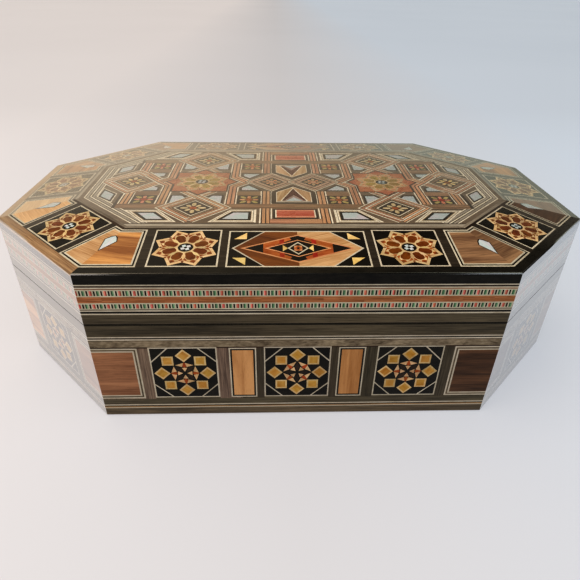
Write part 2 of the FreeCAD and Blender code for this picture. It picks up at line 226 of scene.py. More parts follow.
class Sheet:
    """A drawing of one face: pieces of veneer, of which a later one covers the earlier ones."""

    def __init__(self, outline, wood, seed, instead=None):
        """Woods are replaced by those named in instead."""
        self.outline = [Vector(p) for p in outline]
        self.random = random.Random(seed)
        self.instead = instead or {}
        self.pieces = []
        self.add(self.outline, wood, 0.0)

    def add(self, points, wood, grain):
        """Lays a piece on the others, with its own place in the wood and its own tone."""
        if signed_area(points) < 0:
            points = points[::-1]
        shift = Vector((self.random.random(), self.random.random()))
        tone = (self.random.random(), self.random.random())
        wood = self.instead.get(wood, wood)
        self.pieces.append(Piece([Vector(p) for p in points], wood, grain, shift, tone))

    def cut(self):
        """Cuts the face along every outline: points, and triangles with the piece that each shows."""
        points, edges = [], []
        for piece in self.pieces:
            ring = range(len(points), len(points) + len(piece.points))
            edges.extend(zip(ring, [*ring[1:], ring[0]]))
            points.extend(piece.points)
        cut = delaunay_2d_cdt(points, edges, [], 0, CUT_TOLERANCE, False)
        corners, triangles = cut[0], cut[2]
        middles = np.array([sum((corners[i] for i in face), Vector((0, 0))) / 3 for face in triangles])
        shown = np.full(len(triangles), -1)
        for index, piece in enumerate(self.pieces):
            shown[inside(middles, piece.points)] = index
        shown[~inside(middles, self.pieces[0].points)] = -1
        return corners, [(face, self.pieces[i]) for face, i in zip(triangles, shown) if i >= 0]


class Pen:
    """Draws on a sheet from a place of its own: moved, turned and mirrored."""

    def __init__(self, sheet, origin=(0, 0), across=(1, 0), up=(0, 1)):
        self.sheet = sheet
        self.origin, self.across, self.up = Vector(origin), Vector(across), Vector(up)

    def to(self, point):
        return self.origin + self.across * point[0] + self.up * point[1]

    def at(self, x=0.0, y=0.0, turn=0.0, size=(1.0, 1.0)):
        """A pen at (x, y), turned by some degrees after its two directions are stretched by size."""
        across, up = polar(size[0], turn), left_of(polar(size[1], turn))
        origin = self.to((x, y))
        return Pen(self.sheet, origin, self.to(across) - self.origin, self.to(up) - self.origin)

    def turned(self, count, first=0.0):
        """Pens in the same place, turned evenly all round from a first angle."""
        return [self.at(turn=first + 360 / count * i) for i in range(count)]

    def add(self, points, wood, grain=0.0):
        """Lays a piece whose grain runs at some degrees to the pen's own direction."""
        run = self.to(polar(1.0, grain)) - self.origin
        angle = math.atan2(run.y, run.x)
        self.sheet.add([self.to(p) for p in points], wood, angle)

    def framed(self, points, lines, wood, grain=0.0):
        """An outline filled with thin lines all round, from the outside inwards, and then wood."""
        for line_wood, width in lines:
            self.add(points, line_wood, grain)
            points = inset(points, width)
        self.add(points, wood, grain)

    def strap(self, route, layers):
        """A banded strap along a route; each layer is narrower than the one below."""
        for wood, width in layers:
            for quad, grain in ribbon(route, width):
                self.add(quad, wood, grain)


# ---------------- materials


def linear(red, green, blue):
    """A colour given as on a colour chart, 0 to 255, as the shader wants it."""
    channels = [c / 255 for c in (red, green, blue)]
    return [c / 12.92 if c <= 0.04045 else ((c + 0.055) / 1.055) ** 2.4 for c in channels] + [1.0]


class Shader:
    """A material and short calls for the nodes that the finishes here are made of."""

    def __init__(self, name):
        self.material = bpy.data.materials.new(name)
        self.material.use_nodes = True
        self.tree = self.material.node_tree
        self.surface = self.tree.nodes["Principled BSDF"]

    def node(self, kind, inputs=None, **settings):
        """Adds a node. An input is a value for its socket or another node's output."""
        item = self.tree.nodes.new(f"ShaderNode{kind}")
        for key, value in settings.items():
            setattr(item, key, value)
        for key, value in (inputs or {}).items():
            self.put(item.inputs[key], value)
        return item

    def put(self, socket, value):
        if isinstance(value, bpy.types.NodeSocket):
            self.tree.links.new(value, socket)
        else:
            socket.default_value = value

    def set(self, **values):
        """Sets sockets of the surface; a name's underscores stand for spaces."""
        for key, value in values.items():
            self.put(self.surface.inputs[key.replace("_", " ")], value)

    def stretched(self, vector, scale, turn=0.0):
        inputs = {"Vector": vector, "Scale": scale, "Rotation": (0, 0, turn)}
        return self.node("Mapping", inputs).outputs["Vector"]

    def noise(self, vector, scale=1.0, detail=3.0, roughness=0.55, distortion=0.0):
        inputs = {"Vector": vector, "Scale": scale, "Detail": detail, "Roughness": roughness}
        inputs["Distortion"] = distortion
        return self.node("TexNoise", inputs).outputs["Fac"]

    def ramp(self, factor, stops):
        """A colour ramp through (place, colour) stops."""
        item = self.node("ValToRGB", {"Fac": factor})
        elements = item.color_ramp.elements
        while len(elements) < len(stops):
            elements.new(0.5)
        for element, (position, colour) in zip(elements, stops):
            element.position = position
            element.color = (*colour[:3], 1.0)
        return item.outputs["Color"]

    def charted(self, factor, *stops):
        """A colour ramp through stops of a place and a colour as on a colour chart."""
        return self.ramp(factor, [(place, linear(*colour)) for place, *colour in stops])

    def spread(self, factor, low, high, to_low=0.0, to_high=1.0):
        inputs = {"Value": factor, "From Min": low, "From Max": high, "To Min": to_low, "To Max": to_high}
        return self.node("MapRange", inputs).outputs["Result"]

    def calculate(self, operation, first, second):
        item = self.node("Math", operation=operation)
        self.put(item.inputs[0], first)
        self.put(item.inputs[1], second)
        return item.outputs["Value"]

    def mixed(self, factor, first, second, blend="MIX"):
        item = self.node("Mix", data_type="RGBA", blend_type=blend)
        for index, value in ((0, factor), (6, first), (7, second)):
            self.put(item.inputs[index], value)
        return item.outputs[2]

    def bump(self, height, strength, distance):
        inputs = {"Height": height, "Strength": strength, "Distance": distance}
        return self.node("Bump", inputs).outputs["Normal"]

    def map_of(self, name):
        return self.node("UVMap", uv_map=name).outputs["UV"]

    def place(self):
        """The place on the object, in metres."""
        return self.node("TexCoord").outputs["Object"]

    def shaded(self, colour, value, hue=0.5):
        inputs = {"Color": colour, "Value": value, "Hue": hue}
        return self.node("HueSaturation", inputs).outputs["Color"]

    def blended(self, first, second, share):
        """First and second added up, of which second has this share."""
        part = self.calculate("MULTIPLY", second, share)
        return self.calculate("ADD", self.calculate("MULTIPLY", first, 1 - share), part)

    def varied(self, colour, variety):
        """Makes each piece a little darker or lighter, and redder or yellower, than the next."""
        tone = self.node("SeparateXYZ", {"Vector": self.map_of("tone")}).outputs
        value = self.spread(tone["X"], 0.0, 1.0, 1.0 - variety, 1.0 + variety)
        hue = self.spread(tone["Y"], 0.0, 1.0, 0.5 - variety * 0.06, 0.5 + variety * 0.06)
        return self.shaded(colour, value, hue)


def lacquer(shader, roughness=0.34):
    """The hard clear varnish that is rubbed over the whole box, and mirrors at a flat angle."""
    facing = shader.node("LayerWeight", {"Blend": 0.5}).outputs["Facing"]
    clear, mirror = 0.57, 0.79
    shader.set(Roughness=roughness, IOR=shader.spread(facing, clear, mirror, 1.15, 5.5))
    shader.set(Coat_Weight=1.0, Coat_Roughness=0.07)
    shader.set(Coat_IOR=shader.spread(facing, clear, mirror, 1.25, 5.0))
    shader.set(Sheen_Weight=0.12, Sheen_Roughness=0.3)


def wood(name, dark, light, contrast, figure, pores, variety):
    """Veneer: fine fibres, a broader figure, short dark pores, and each piece a little different."""
    shader = Shader(name)
    place = shader.map_of("grain")
    fibres = shader.noise(shader.stretched(place, (70, 1900, 1)), detail=3)
    waves = shader.noise(shader.stretched(place, (16, 190, 1)), detail=4, distortion=0.6)
    streaks = shader.noise(shader.stretched(place, (260, 5200, 1)), detail=2)
    mixed = shader.blended(fibres, waves, figure)
    spread = 0.13 / contrast
    colour = shader.ramp(shader.spread(mixed, 0.5 - spread, 0.5 + spread), [(0.0, dark), (1.0, light)])
    pore = shader.spread(streaks, 0.60, 0.70, 0.0, pores)
    colour = shader.mixed(pore, colour, [c * 0.35 for c in dark[:3]] + [1.0])
    shader.set(Base_Color=shader.varied(colour, variety))
    lacquer(shader)
    shader.set(Roughness=shader.spread(fibres, 0.3, 0.7, 0.30, 0.42))
    shader.set(Coat_Normal=shader.bump(waves, 0.10, 0.0004))
    shader.set(Normal=shader.bump(streaks, 0.25, 0.0001))
    return shader.material


def inlay(name, dark, light, scale, variety):
    """Bone, dyed wood and other dense pieces: a fine mottle, and each piece a little different."""
    shader = Shader(name)
    place = shader.map_of("grain")
    mottle = shader.noise(shader.stretched(place, (scale * 0.35, scale, 1)), detail=4, roughness=0.6)
    cloud = shader.noise(shader.stretched(place, (120, 160, 1)), detail=2)
    both = shader.blended(mottle, cloud, 0.5)
    colour = shader.ramp(shader.spread(both, 0.36, 0.64), [(0.0, dark), (1.0, light)])
    shader.set(Base_Color=shader.varied(colour, variety))
    lacquer(shader)
    shader.set(Roughness=shader.spread(mottle, 0.3, 0.7, 0.23, 0.36))
    shader.set(Normal=shader.bump(mottle, 0.12, 0.0001))
    return shader.material


def mother_of_pearl(name):
    """Layered shell: silvery, with faint rose and green that drift with the growth lines."""
    shader = Shader(name)
    place = shader.map_of("grain")
    drift = shader.noise(shader.stretched(place, (90, 260, 1)), detail=3, distortion=1.2)
    layers = shader.noise(shader.stretched(place, (420, 2400, 1)), detail=3, distortion=0.8)
    colour = shader.charted(drift, (0.30, *PEARL_ROSE), (0.45, *PEARL), (0.58, *PEARL_GREEN), (0.72, *PEARL))
    shade = shader.spread(layers, 0.3, 0.7, 0.88, 1.06)
    shader.set(Base_Color=shader.shaded(colour, shade))
    lacquer(shader, 0.22)
    shader.set(Metallic=0.12, Normal=shader.bump(layers, 0.3, 0.0001))
    return shader.material


def solid_board(name, turn):
    """Plain hardwood of the carcass, with its grain along the board."""
    shader = Shader(name)
    along = shader.stretched(shader.place(), (1, 1, 1), turn=-turn)
    fibres = shader.noise(shader.stretched(along, (60, 1500, 1500)), detail=3)
    rings = shader.noise(shader.stretched(along, (8, 150, 150)), detail=3, distortion=0.8)
    both = shader.blended(fibres, rings, 0.55)
    colour = shader.charted(both, (0.35, 112, 78, 52), (0.5, 150, 110, 76), (0.66, 176, 136, 98))
    shader.set(Base_Color=colour, Roughness=shader.spread(fibres, 0.3, 0.7, 0.5, 0.65))
    shader.set(Coat_Weight=0.25, Coat_Roughness=0.2, Normal=shader.bump(fibres, 0.3, 0.0002))
    return shader.material


def velvet(name):
    """Deep pile that is dark face on and glows at a glance, brushed one way here and another there."""
    shader = Shader(name)
    place = shader.place()
    pile = shader.noise(place, 2600, detail=2)
    brushed = shader.noise(shader.stretched(place, (45, 70, 60)), detail=3, distortion=0.5)
    colour = shader.charted(brushed, (0.28, 94, 10, 20), (0.52, 112, 14, 26), (0.76, 132, 22, 34))
    shade = shader.spread(pile, 0.3, 0.7, 0.8, 1.15)
    shader.set(Base_Color=shader.shaded(colour, shade), Roughness=0.95, Specular_IOR_Level=0.1)
    shader.set(Sheen_Weight=0.85, Sheen_Roughness=0.35, Sheen_Tint=linear(236, 120, 120))
    shader.set(Normal=shader.bump(pile, 0.5, 0.0004))
    return shader.material


def felt(name):
    """Pressed wool under the box."""
    shader = Shader(name)
    place = shader.place()
    hairs = shader.noise(place, 1400, detail=4, distortion=2.5)
    clouds = shader.noise(place, 60, detail=3)
    both = shader.blended(hairs, clouds, 0.5)
    colour = shader.charted(both, (0.38, 24, 44, 34), (0.62, 46, 74, 58))
    shader.set(Base_Color=colour, Roughness=0.95, Sheen_Weight=0.3, Sheen_Roughness=0.5)
    shader.set(Normal=shader.bump(hairs, 0.8, 0.0006))
    return shader.material


def brass(name):
    """Stamped brass, lightly tarnished and worn by handling."""
    shader = Shader(name)
    place = shader.place()
    brushed = shader.noise(shader.stretched(place, (250, 3800, 3800)), detail=2)
    tarnish = shader.noise(place, 420, detail=4, roughness=0.65)
    colour = shader.charted(tarnish, (0.36, 128, 96, 44), (0.52, 196, 156, 84), (0.7, 222, 186, 112))
    shader.set(Base_Color=colour, Metallic=1.0, Roughness=shader.spread(tarnish, 0.3, 0.7, 0.42, 0.24))
    shader.set(Normal=shader.bump(brushed, 0.25, 0.0001))
    return shader.material


def studio_paper(name):
    """White paper with a painted glow that stands in for room light and fills in the box's shadow: warmer on
    the left, bluer on the right, dimmer far behind.
    """
    shader = Shader(name)
    place = shader.place()
    clouds = shader.noise(place, 1.3, detail=2)
    shader.set(Base_Color=shader.charted(clouds, (0.3, 135, 134, 135), (0.7, 140, 139, 140)))
    shader.set(Roughness=0.6, Specular_IOR_Level=0.15)
    split = shader.node("SeparateXYZ", {"Vector": place}).outputs
    # painted light: the paper's own glow, in place of light falling on the floor
    painted_glow = [(0.0, (0.425, 0.392, 0.382)), (0.5, (0.315, 0.31, 0.32)), (1.0, (0.300, 0.35, 0.405))]
    shader.set(Emission_Color=shader.ramp(shader.spread(split["X"], -0.3, 0.3), painted_glow))
    # the painted glow fades further behind the box
    shader.set(Emission_Strength=shader.spread(split["Y"], -0.1, 0.5, 1.0, 0.76))
    return shader.material


PEARL = (206, 208, 208)
PEARL_ROSE = (216, 204, 208)
PEARL_GREEN = (194, 208, 205)

# name: darker colour, lighter colour, contrast, share of the broad figure, pores, variety between pieces
WOODS = {
    "walnut": ((58, 52, 40), (96, 87, 69), 1.0, 0.5, 0.5, 0.12),
    "walnut_low": ((63, 55, 43), (109, 96, 76), 1.0, 0.5, 0.5, 0.12),
    "walnut_dark": ((50, 44, 33), (82, 73, 58), 1.0, 0.4, 0.5, 0.12),
    "border_walnut": ((36, 30, 24), (64, 55, 45), 1.0, 0.4, 0.5, 0.10),
    "corner_brown": ((98, 72, 51), (166, 135, 98), 1.0, 0.6, 0.4, 0.15),
    "tan_light": ((187, 142, 95), (224, 184, 137), 1.0, 0.5, 0.3, 0.10),
    "post": ((77, 63, 54), (126, 108, 93), 1.0, 0.3, 0.5, 0.28),
    "sapele": ((95, 59, 41), (153, 110, 83), 1.0, 0.6, 0.4, 0.15),
    "sapele_dark": ((53, 35, 23), (104, 73, 51), 1.0, 0.6, 0.4, 0.10),
    "sapele_gold": ((138, 86, 48), (208, 152, 96), 1.3, 0.9, 0.5, 0.08),
    "chestnut": ((87, 44, 19), (135, 81, 39), 1.0, 0.5, 0.4, 0.15),
    "honey": ((162, 121, 75), (210, 175, 132), 1.0, 0.5, 0.3, 0.10),
    "tan_panel": ((150, 104, 60), (182, 136, 90), 1.0, 0.9, 0.4, 0.05),
    "tan_warm": ((158, 113, 69), (191, 147, 101), 1.0, 0.9, 0.4, 0.05),
    "fawn": ((144, 118, 98), (208, 174, 145), 1.0, 0.4, 0.4, 0.08),
    "tan": ((120, 92, 62), (164, 132, 94), 1.0, 0.4, 0.3, 0.10),
    "orange_band": ((119, 75, 44), (168, 116, 78), 0.9, 0.3, 0.8, 0.04),
    "ground": ((87, 70, 54), (131, 112, 91), 1.0, 0.4, 0.5, 0.05),
    # walnut of the strip along the lid's ridge, lightened by a painted sheen
    "ridge": ((100, 90, 77), (152, 141, 123), 1.0, 0.5, 0.5, 0.10),
    "grey": ((133, 123, 109), (193, 180, 161), 1.0, 0.5, 0.5, 0.10),
    "band": ((114, 84, 58), (160, 128, 96), 1.2, 0.4, 0.4, 0.10),
    "strap": ((164, 116, 84), (214, 166, 129), 1.0, 0.4, 0.3, 0.14),
    # brown of the border's edge on the left sides: partly the wood, partly a painted warm reflection
    "edge_brown": ((126, 96, 67), (188, 155, 116), 1.0, 0.5, 0.4, 0.05),
    "dark": ((34, 24, 16), (62, 46, 34), 1.0, 0.4, 0.3, 0.15),
    "mauve": ((140, 116, 106), (176, 154, 146), 1.0, 0.4, 0.2, 0.10),
}
# name: darker colour, lighter colour, scale of the mottle, variety between pieces
INLAYS = {
    "ebony": ((13, 12, 9), (31, 28, 22), 900, 0.15),
    # a darker copy of ebony for the ground of the lid's border tiles: painted shade
    "black": ((8, 7, 5), (21, 17, 12), 900, 0.15),
    "speckled": ((80, 68, 53), (149, 135, 113), 1300, 0.05),
    "bone": ((219, 205, 178), (246, 234, 211), 700, 0.08),
    # bone of the upright sides, and of the micro-mosaic below: darker copies of bone, painted shade
    "wall_bone": ((159, 149, 131), (181, 172, 156), 700, 0.08),
    # a darker copy of bone for the lid's border: painted shade
    "border_bone": ((180, 170, 148), (204, 194, 174), 700, 0.08),
    "cream": ((170, 136, 100), (199, 170, 132), 700, 0.10),
    "rod_bone": ((157, 148, 128), (183, 179, 160), 700, 0.08),
    "red": ((173, 94, 77), (208, 133, 118), 1200, 0.2),
    "red_dark": ((115, 50, 38), (157, 81, 64), 1200, 0.2),
    "green": ((82, 118, 84), (128, 158, 124), 1200, 0.2),
    "green_dark": ((30, 62, 40), (64, 96, 70), 1200, 0.2),
    "heart": ((124, 56, 18), (168, 89, 34), 900, 0.15),
    "gold": ((151, 106, 37), (180, 143, 75), 500, 0.09),
    "gold_rim": ((166, 138, 93), (194, 172, 131), 900, 0.12),
    "lemon": ((184, 153, 106), (216, 192, 152), 700, 0.20),
    "amber": ((122, 66, 20), (156, 95, 41), 800, 0.2),
    "petal": ((84, 38, 6), (126, 67, 16), 600, 0.10),
    "pale": ((186, 164, 122), (214, 194, 154), 700, 0.10),
    "pale_green": ((154, 137, 82), (186, 168, 109), 700, 0.12),
    "olive": ((139, 111, 49), (181, 151, 80), 600, 0.15),
    "yellow": ((201, 168, 100), (227, 201, 144), 600, 0.12),
    "flame": ((144, 71, 27), (177, 104, 54), 700, 0.12),
    "red_wood": ((132, 36, 16), (168, 60, 34), 700, 0.15),
    "rim_red": ((186, 126, 86), (214, 160, 118), 700, 0.10),
    "rose": ((196, 124, 96), (220, 152, 124), 700, 0.08),
    "carmine": ((172, 82, 58), (196, 110, 85), 600, 0.06),
    "dark_red": ((62, 12, 6), (87, 25, 15), 700, 0.10),
    "rosette_red": ((168, 96, 64), (193, 128, 91), 500, 0.12),
}
MATERIALS = {"pearl": mother_of_pearl("pearl")}
for key, (dark, light, *settings) in WOODS.items():
    MATERIALS[key] = wood(key, linear(*dark), linear(*light), *settings)
for key, (dark, light, *settings) in INLAYS.items():
    MATERIALS[key] = inlay(key, linear(*dark), linear(*light), *settings)
MATERIALS["velvet"] = velvet("velvet")
MATERIALS["paper"] = studio_paper("studio_paper")

# wood of the plain panels that meet at each corner of the walls, anticlockwise from the front left
WALL_CORNERS = ("sapele", "sapele_dark") * 3 + ("sapele", "sapele_gold")
# woods of the two plain tiles of each side of the lid's border
BORDER_CORNERS = {
    "front": ("sapele_gold", "corner_brown"),
    "front_right": ("corner_brown", "sapele_dark"),
    "right": ("sapele", "sapele_gold"),
    "back_right": ("sapele_gold", "sapele"),
    "back": ("sapele", "sapele_gold"),
    "back_left": ("sapele", "sapele_gold"),
    "left": ("sapele_gold", "tan_light"),
    "front_left": ("tan_light", "honey"),
}
# how far the kite of a corner, counted anticlockwise from the front left, lies nearer the edge
KITE_SHIFTS = {1: -0.03}
# the border's edge is ebony, and brown on the three sides that face the warm lamp: partly wood, partly a
# painted warm reflection
LIT_BORDER_EDGES = {"front_left": "edge_brown", "left": "edge_brown", "back_left": "edge_brown"}


# ---------------- motifs

DOUBLE_LINE = (("bone", LINE), ("ebony", LINE), ("bone", LINE))
PANEL_LINES = (("bone", LINE), ("walnut_low", LINE), ("bone", LINE))
STRAP = (("bone", 0.066), ("dark", 0.051), ("strap", 0.038), ("dark", 0.006))
NARROW_STRAP = (("bone", 0.062), ("dark", 0.049), ("strap", 0.038), ("dark", 0.015), ("bone", 0.008))
CENTRE_STRAP = (("bone", 0.062), ("dark", 0.050), ("fawn", 0.041), ("dark", 0.008))
END_STRAP = (("bone", 0.068), ("dark", 0.054), ("grey", 0.046), ("dark", 0.018), ("bone", 0.008))


def bands(pen, half, rows):
    """Strips along the whole side, given as (low, high, wood)."""
    for low, high, wood in rows:
        pen.add(rectangle(-half, half, low, high), wood)


def rod_row(pen, half, low, high, start):
    """A row of micro-mosaic: sliced bundles of black, white, red and green rods."""
    rods = []
    for first, second in (("red", "red_dark"), ("green_dark", "green")):
        # the white rods are the darker copy of bone, painted shade of the upright side
        rods += [("ebony", 0.0075), ("rod_bone", 0.006), (first, 0.0065)]
        rods += [(second, 0.006), ("rod_bone", 0.0065)]
    x = -half - start
    for wood, width in itertools.cycle(rods):
        if x >= half:
            break
        if x + width > -half:
            pen.add(rectangle(max(x, -half), min(x + width, half), low, high), wood, 90)
        x += width


def pieced_band(pen, half, low, high, wood):
    """A band joined from short lengths of one wood, cut from different leaves."""
    chance = random.Random(7)
    x = -half
    while x < half:
        end = min(x + chance.uniform(0.07, 0.19), half)
        pen.add(rectangle(x, end, low, high), wood, chance.uniform(-3, 3))
        x = end


def ring_tile(pen, turn):
    """Black tile of the walls: eight gilded squares round a small star, and a bone line at each corner."""
    corner_near, corner_far = 0.073, 0.161
    pen.framed(rectangle(-RING_TILE, RING_TILE, -RING_TILE, RING_TILE), [("bone", 0.007)], "ebony")
    for corner in pen.turned(4):
        corner.strap([(corner_near, corner_far), (corner_far, corner_near)], [("bone", 0.0065)])
    for spoke in pen.turned(8):
        spoke.add(diamond(0.113, 0, 0.041, 0.041), "gold_rim", 45)
        spoke.add(diamond(0.113, 0, 0.029, 0.029), "gold", 45)
    for spoke, gap in zip(pen.turned(4, turn), pen.turned(4, turn + 45)):
        heart = [(0.036, 0), (0.047, -0.013), (0.062, -0.005), (0.075, 0), (0.062, 0.005), (0.047, 0.013)]
        spoke.add(heart, "heart")
        spoke.add([(0.010, 0), (0.036, -0.014), (0.036, 0.014)], "cream")
        for up in (-1, 1):
            spoke.add([(0.041, 0.012 * up), (0.068, 0.004 * up), (0.053, 0.046 * up)], "cream", 90)
        gap.add(diamond(0.037, 0, 0.027, 0.012), "dark")


def star_flower(pen, tip, woods):
    """Eight-lobed star of triangles and petals round a pinwheel; tip is its outer radius."""
    edge, inner, light, petal, point = woods
    size = pen.at(size=(tip, tip))
    lobes = star(8, 1.0, 0.76, 22.5)
    size.add(lobes, edge)
    size.add(inset(lobes, 0.092), inner)
    for lobe in size.turned(8, 22.5):
        for up in (1, -1):
            lobe.add([(0.695, 0.025 * up), (0.765, 0.09 * up), (0.635, 0.17 * up)], light, 60 * up)
        lobe.add(diamond(0.80, 0, 0.065, 0.060), point)
    size.add(star(8, 0.52, 0.52, 0), light)
    for wood, outline in ((light, oval(0.475, 0.232, 0.172)), (petal, oval(0.480, 0.205, 0.150))):
        for lobe in size.turned(8, 22.5):
            lobe.add(outline, wood)
    for gap in size.turned(8):
        gap.add(diamond(0.46, 0, 0.22, 0.060), light)
        gap.add(diamond(0.725, 0, 0.060, 0.045), "chestnut")
    size.add(star(8, 0.225, 0.225, 22.5), "ebony")
    for blade in size.turned(4, 20):
        blade.add(rectangle(0.040, 0.152, -0.030, 0.078), "pearl")
    size.add(diamond(0, 0, 0.055, 0.055), "ebony")


def star_tile(pen, half_x, half_y):
    """Black tile of the lid's border with an eight-lobed star that fills it."""
    # the ground is the darker copy of ebony, a painted shade
    pen.framed(rectangle(-half_x, half_x, -half_y, half_y), [("bone", LINE)], "black")
    squeeze = 1.02 * half_y / half_x
    star_flower(pen.at(size=(1.0, squeeze)), half_x, ("lemon", "amber", "lemon", "petal", "chestnut"))


def lozenge_tile(pen, half_x, half_y):
    """Long tile: a hexagon, chestnut on its left and honey on its right, round a lozenge of red bars."""
    # the black ground here is the darker copy of ebony, a painted shade
    pen.framed(rectangle(-half_x, half_x, -half_y, half_y), [("bone", LINE)], "black")
    top = half_y - LINE
    for side, wood in ((-1, "chestnut"), (1, "honey")):
        half = pen.at(size=(side, 1))
        half.add([(0, -top), (0.165, -top), (0.314, 0), (0.165, top), (0, top)], "bone")
        half.add([(0, -top), (0.157, -top), (0.302, 0), (0.157, top), (0, top)], wood, 20)
        half.add([(0, -0.113), (0.274, 0), (0, 0.113)], "rim_red", 22)
        half.add([(0, -0.104), (0.253, 0), (0, 0.104)], "black")
        for up in (-1, 1):
            quarter = half.at(size=(1, up))
            quarter.add([(0.165, 0), (0.165, 0.036), (0.040, 0.088), (0.030, 0.070), (0.15, 0)], "flame", -22)
            quarter.add([(0.088, 0.0285), (0.088, 0.068), (0.066, 0.077), (0.066, 0.038)], "red_wood", -22)
            quarter.add([(0.245, 0.075), (0.245, 0.131), (0.307, 0.075)], "yellow", 45)
        half.add([(0, -0.070), (0.160, 0), (0, 0.070)], "rim_red", 22)
        half.add([(0, -0.063), (0.143, 0), (0, 0.063)], "black")
        half.add([(0.073, -0.026), (0.049, 0), (0.073, 0.026)], "yellow")
    pen.add(diamond(0, 0, 0.051, 0.052), "bone")
    pen.add(diamond(0, 0, 0.041, 0.042), "ebony")
    pen.add(rectangle(-0.019, 0.019, -0.021, 0.021), "rim_red")
    pen.add(diamond(0, 0, 0.020, 0.022), "flame")
    pen.add(rectangle(-0.006, 0.006, -0.007, 0.007), "ebony")


def small_flower(pen, half, woods):
    """Dark square with an eight-petalled flower."""
    corner, cross, heart = woods
    pen.add(rectangle(-half, half, -half, half), "dark")
    for diagonal, straight in zip(pen.turned(4, 45), pen.turned(4)):
        diagonal.add(oval(half * 0.80, half * 0.36, half * 0.20), corner)
        straight.add(oval(half * 0.62, half * 0.28, half * 0.18), cross)
    pen.add(star(8, half * 0.36, half * 0.30), heart)


# ---------------- walls


def plain_panel(pen, low, high, start, wood):
    """Plain veneer inside a double line, open towards the corner of the box, where it meets the next."""
    beyond = 1.5
    pen.framed(rectangle(start, beyond, low, high), PANEL_LINES, wood)


def draw_body_side(sheet, half, name):
    """Strings at the foot and under the rim, and between them star tiles, plain panels and posts."""
    pen = Pen(sheet)
    rows = [(-0.01, 0.045, "walnut_low"), (0.0725, 0.4453, "walnut"), (0.0645, 0.0725, "bone")]
    rows += [(0.058, 0.0645, "ebony"), (0.051, 0.058, "tan"), (0.045, 0.051, "bone")]
    rows += [(0.4915, 0.495, "dark"), (0.510, 0.517, "bone"), (0.503, 0.510, "ebony")]
    rows += [(0.495, 0.503, "bone"), (0.453, 0.4915, "speckled"), (0.4455, 0.453, "dark")]
    # painted shade: an ebony strip just under the rim darkens the gap between box and lid
    rows.append((RIM - GAP_SHADE_WIDTH, RIM, "ebony"))
    bands(pen, half, rows)
    low, high, tile_middle = 0.118, 0.446, 0.28525
    is_long = half > LONG_SIDE
    columns = (-0.561, 0.0, 0.561) if is_long else (0.0,)
    panel_start = 0.779 if is_long else 0.218
    edges = [x + side * RING_TILE for x in columns for side in (-1, 1)]
    for start, end in zip([-half] + edges[1::2], edges[0::2] + [half]):
        middle = (start + end) / 2
        # the lighter wood is on the left half of a long side
        for left, right, limit in ((start, middle, 0), (middle, end, -0.3)):
            wood = "post" if middle < limit else "walnut_dark"
            pen.add(rectangle(left, right, low - 0.008, high), wood, 90)
    if is_long:
        lines = [("bone", 0.007), ("ebony", 0.008)]
        for x, wood in ((-0.27, "tan_warm"), (0.27, "tan_panel")):
            pen.framed(rectangle(x - 0.067, x + 0.067, low, high), lines, wood, 90)
    for index, x in enumerate(columns):
        ring_tile(pen.at(x, tile_middle), 45 * (index % 2))
    number = SIDE_NAMES.index(name)
    for side, corner in ((-1, number), (1, (number + 1) % 8)):
        plain_panel(pen.at(size=(side, 1)), low - 0.003, high, panel_start, WALL_CORNERS[corner])


def draw_lid_side(sheet, half, _name):
    """Two rows of micro-mosaic with a warm band between them, strings, and the black edge."""
    pen = Pen(sheet)
    rows = [(0.809, 0.870, "ebony"), (0.8025, 0.809, "bone"), (0.7945, 0.8025, "dark")]
    # the pale rows round the rods are the darker copy of bone, painted shade
    rows += [(0.787, 0.7945, "bone"), (0.782, 0.787, "sapele"), (0.744, 0.782, "rod_bone")]
    rows += [(0.676, 0.711, "rod_bone"), (0.6715, 0.676, "dark"), (0.664, 0.6715, "bone")]
    # the last row, ebony along the lid's lowest edge, is painted shade of the gap between lid and box
    rows += [(0.6535, 0.664, "ebony"), (0.6455, 0.6535, "bone"), (LID_LOW, LID_LOW + GAP_SHADE_WIDTH, "ebony")]
    bands(pen, half, rows)
    pieced_band(pen, half, 0.711, 0.744, "orange_band")
    rod_row(pen, half, 0.750, 0.7760, 0.019)
    rod_row(pen, half, 0.681, 0.7045, 0.016)


# ---------------- border of the lid


def corner_half(pen, half, start, wood, kite_shift):
    """Half of a corner tile, from start to the mitre, with half of the pearl kite on the mitre."""
    beyond = half + 0.5
    pen.framed(rectangle(start, beyond, 0.048, 0.352), DOUBLE_LINE, wood, 8)
    inwards = Vector((-MITRE, 1)).normalized()
    to_side = Vector((-1, -MITRE)).normalized()

    def on_mitre(s, away):
        return Vector((half - s * MITRE, s)) + to_side * away

    grain = math.degrees(math.atan2(inwards.y, inwards.x))
    for margin, wood in ((0.005, "dark"), (0.0, "pearl")):
        kite = [(0.180 - 2 * margin, 0), (0.262, 0.031 + margin)]
        kite += [(0.286 + margin, 0.014 + margin), (0.296 + margin, 0)]
        kite = [on_mitre(s + kite_shift, away) for s, away in kite]
        beyond_mitre = [point - to_side * 0.02 for point in (kite[-1], kite[0])]
        pen.add(kite + beyond_mitre, wood, grain)


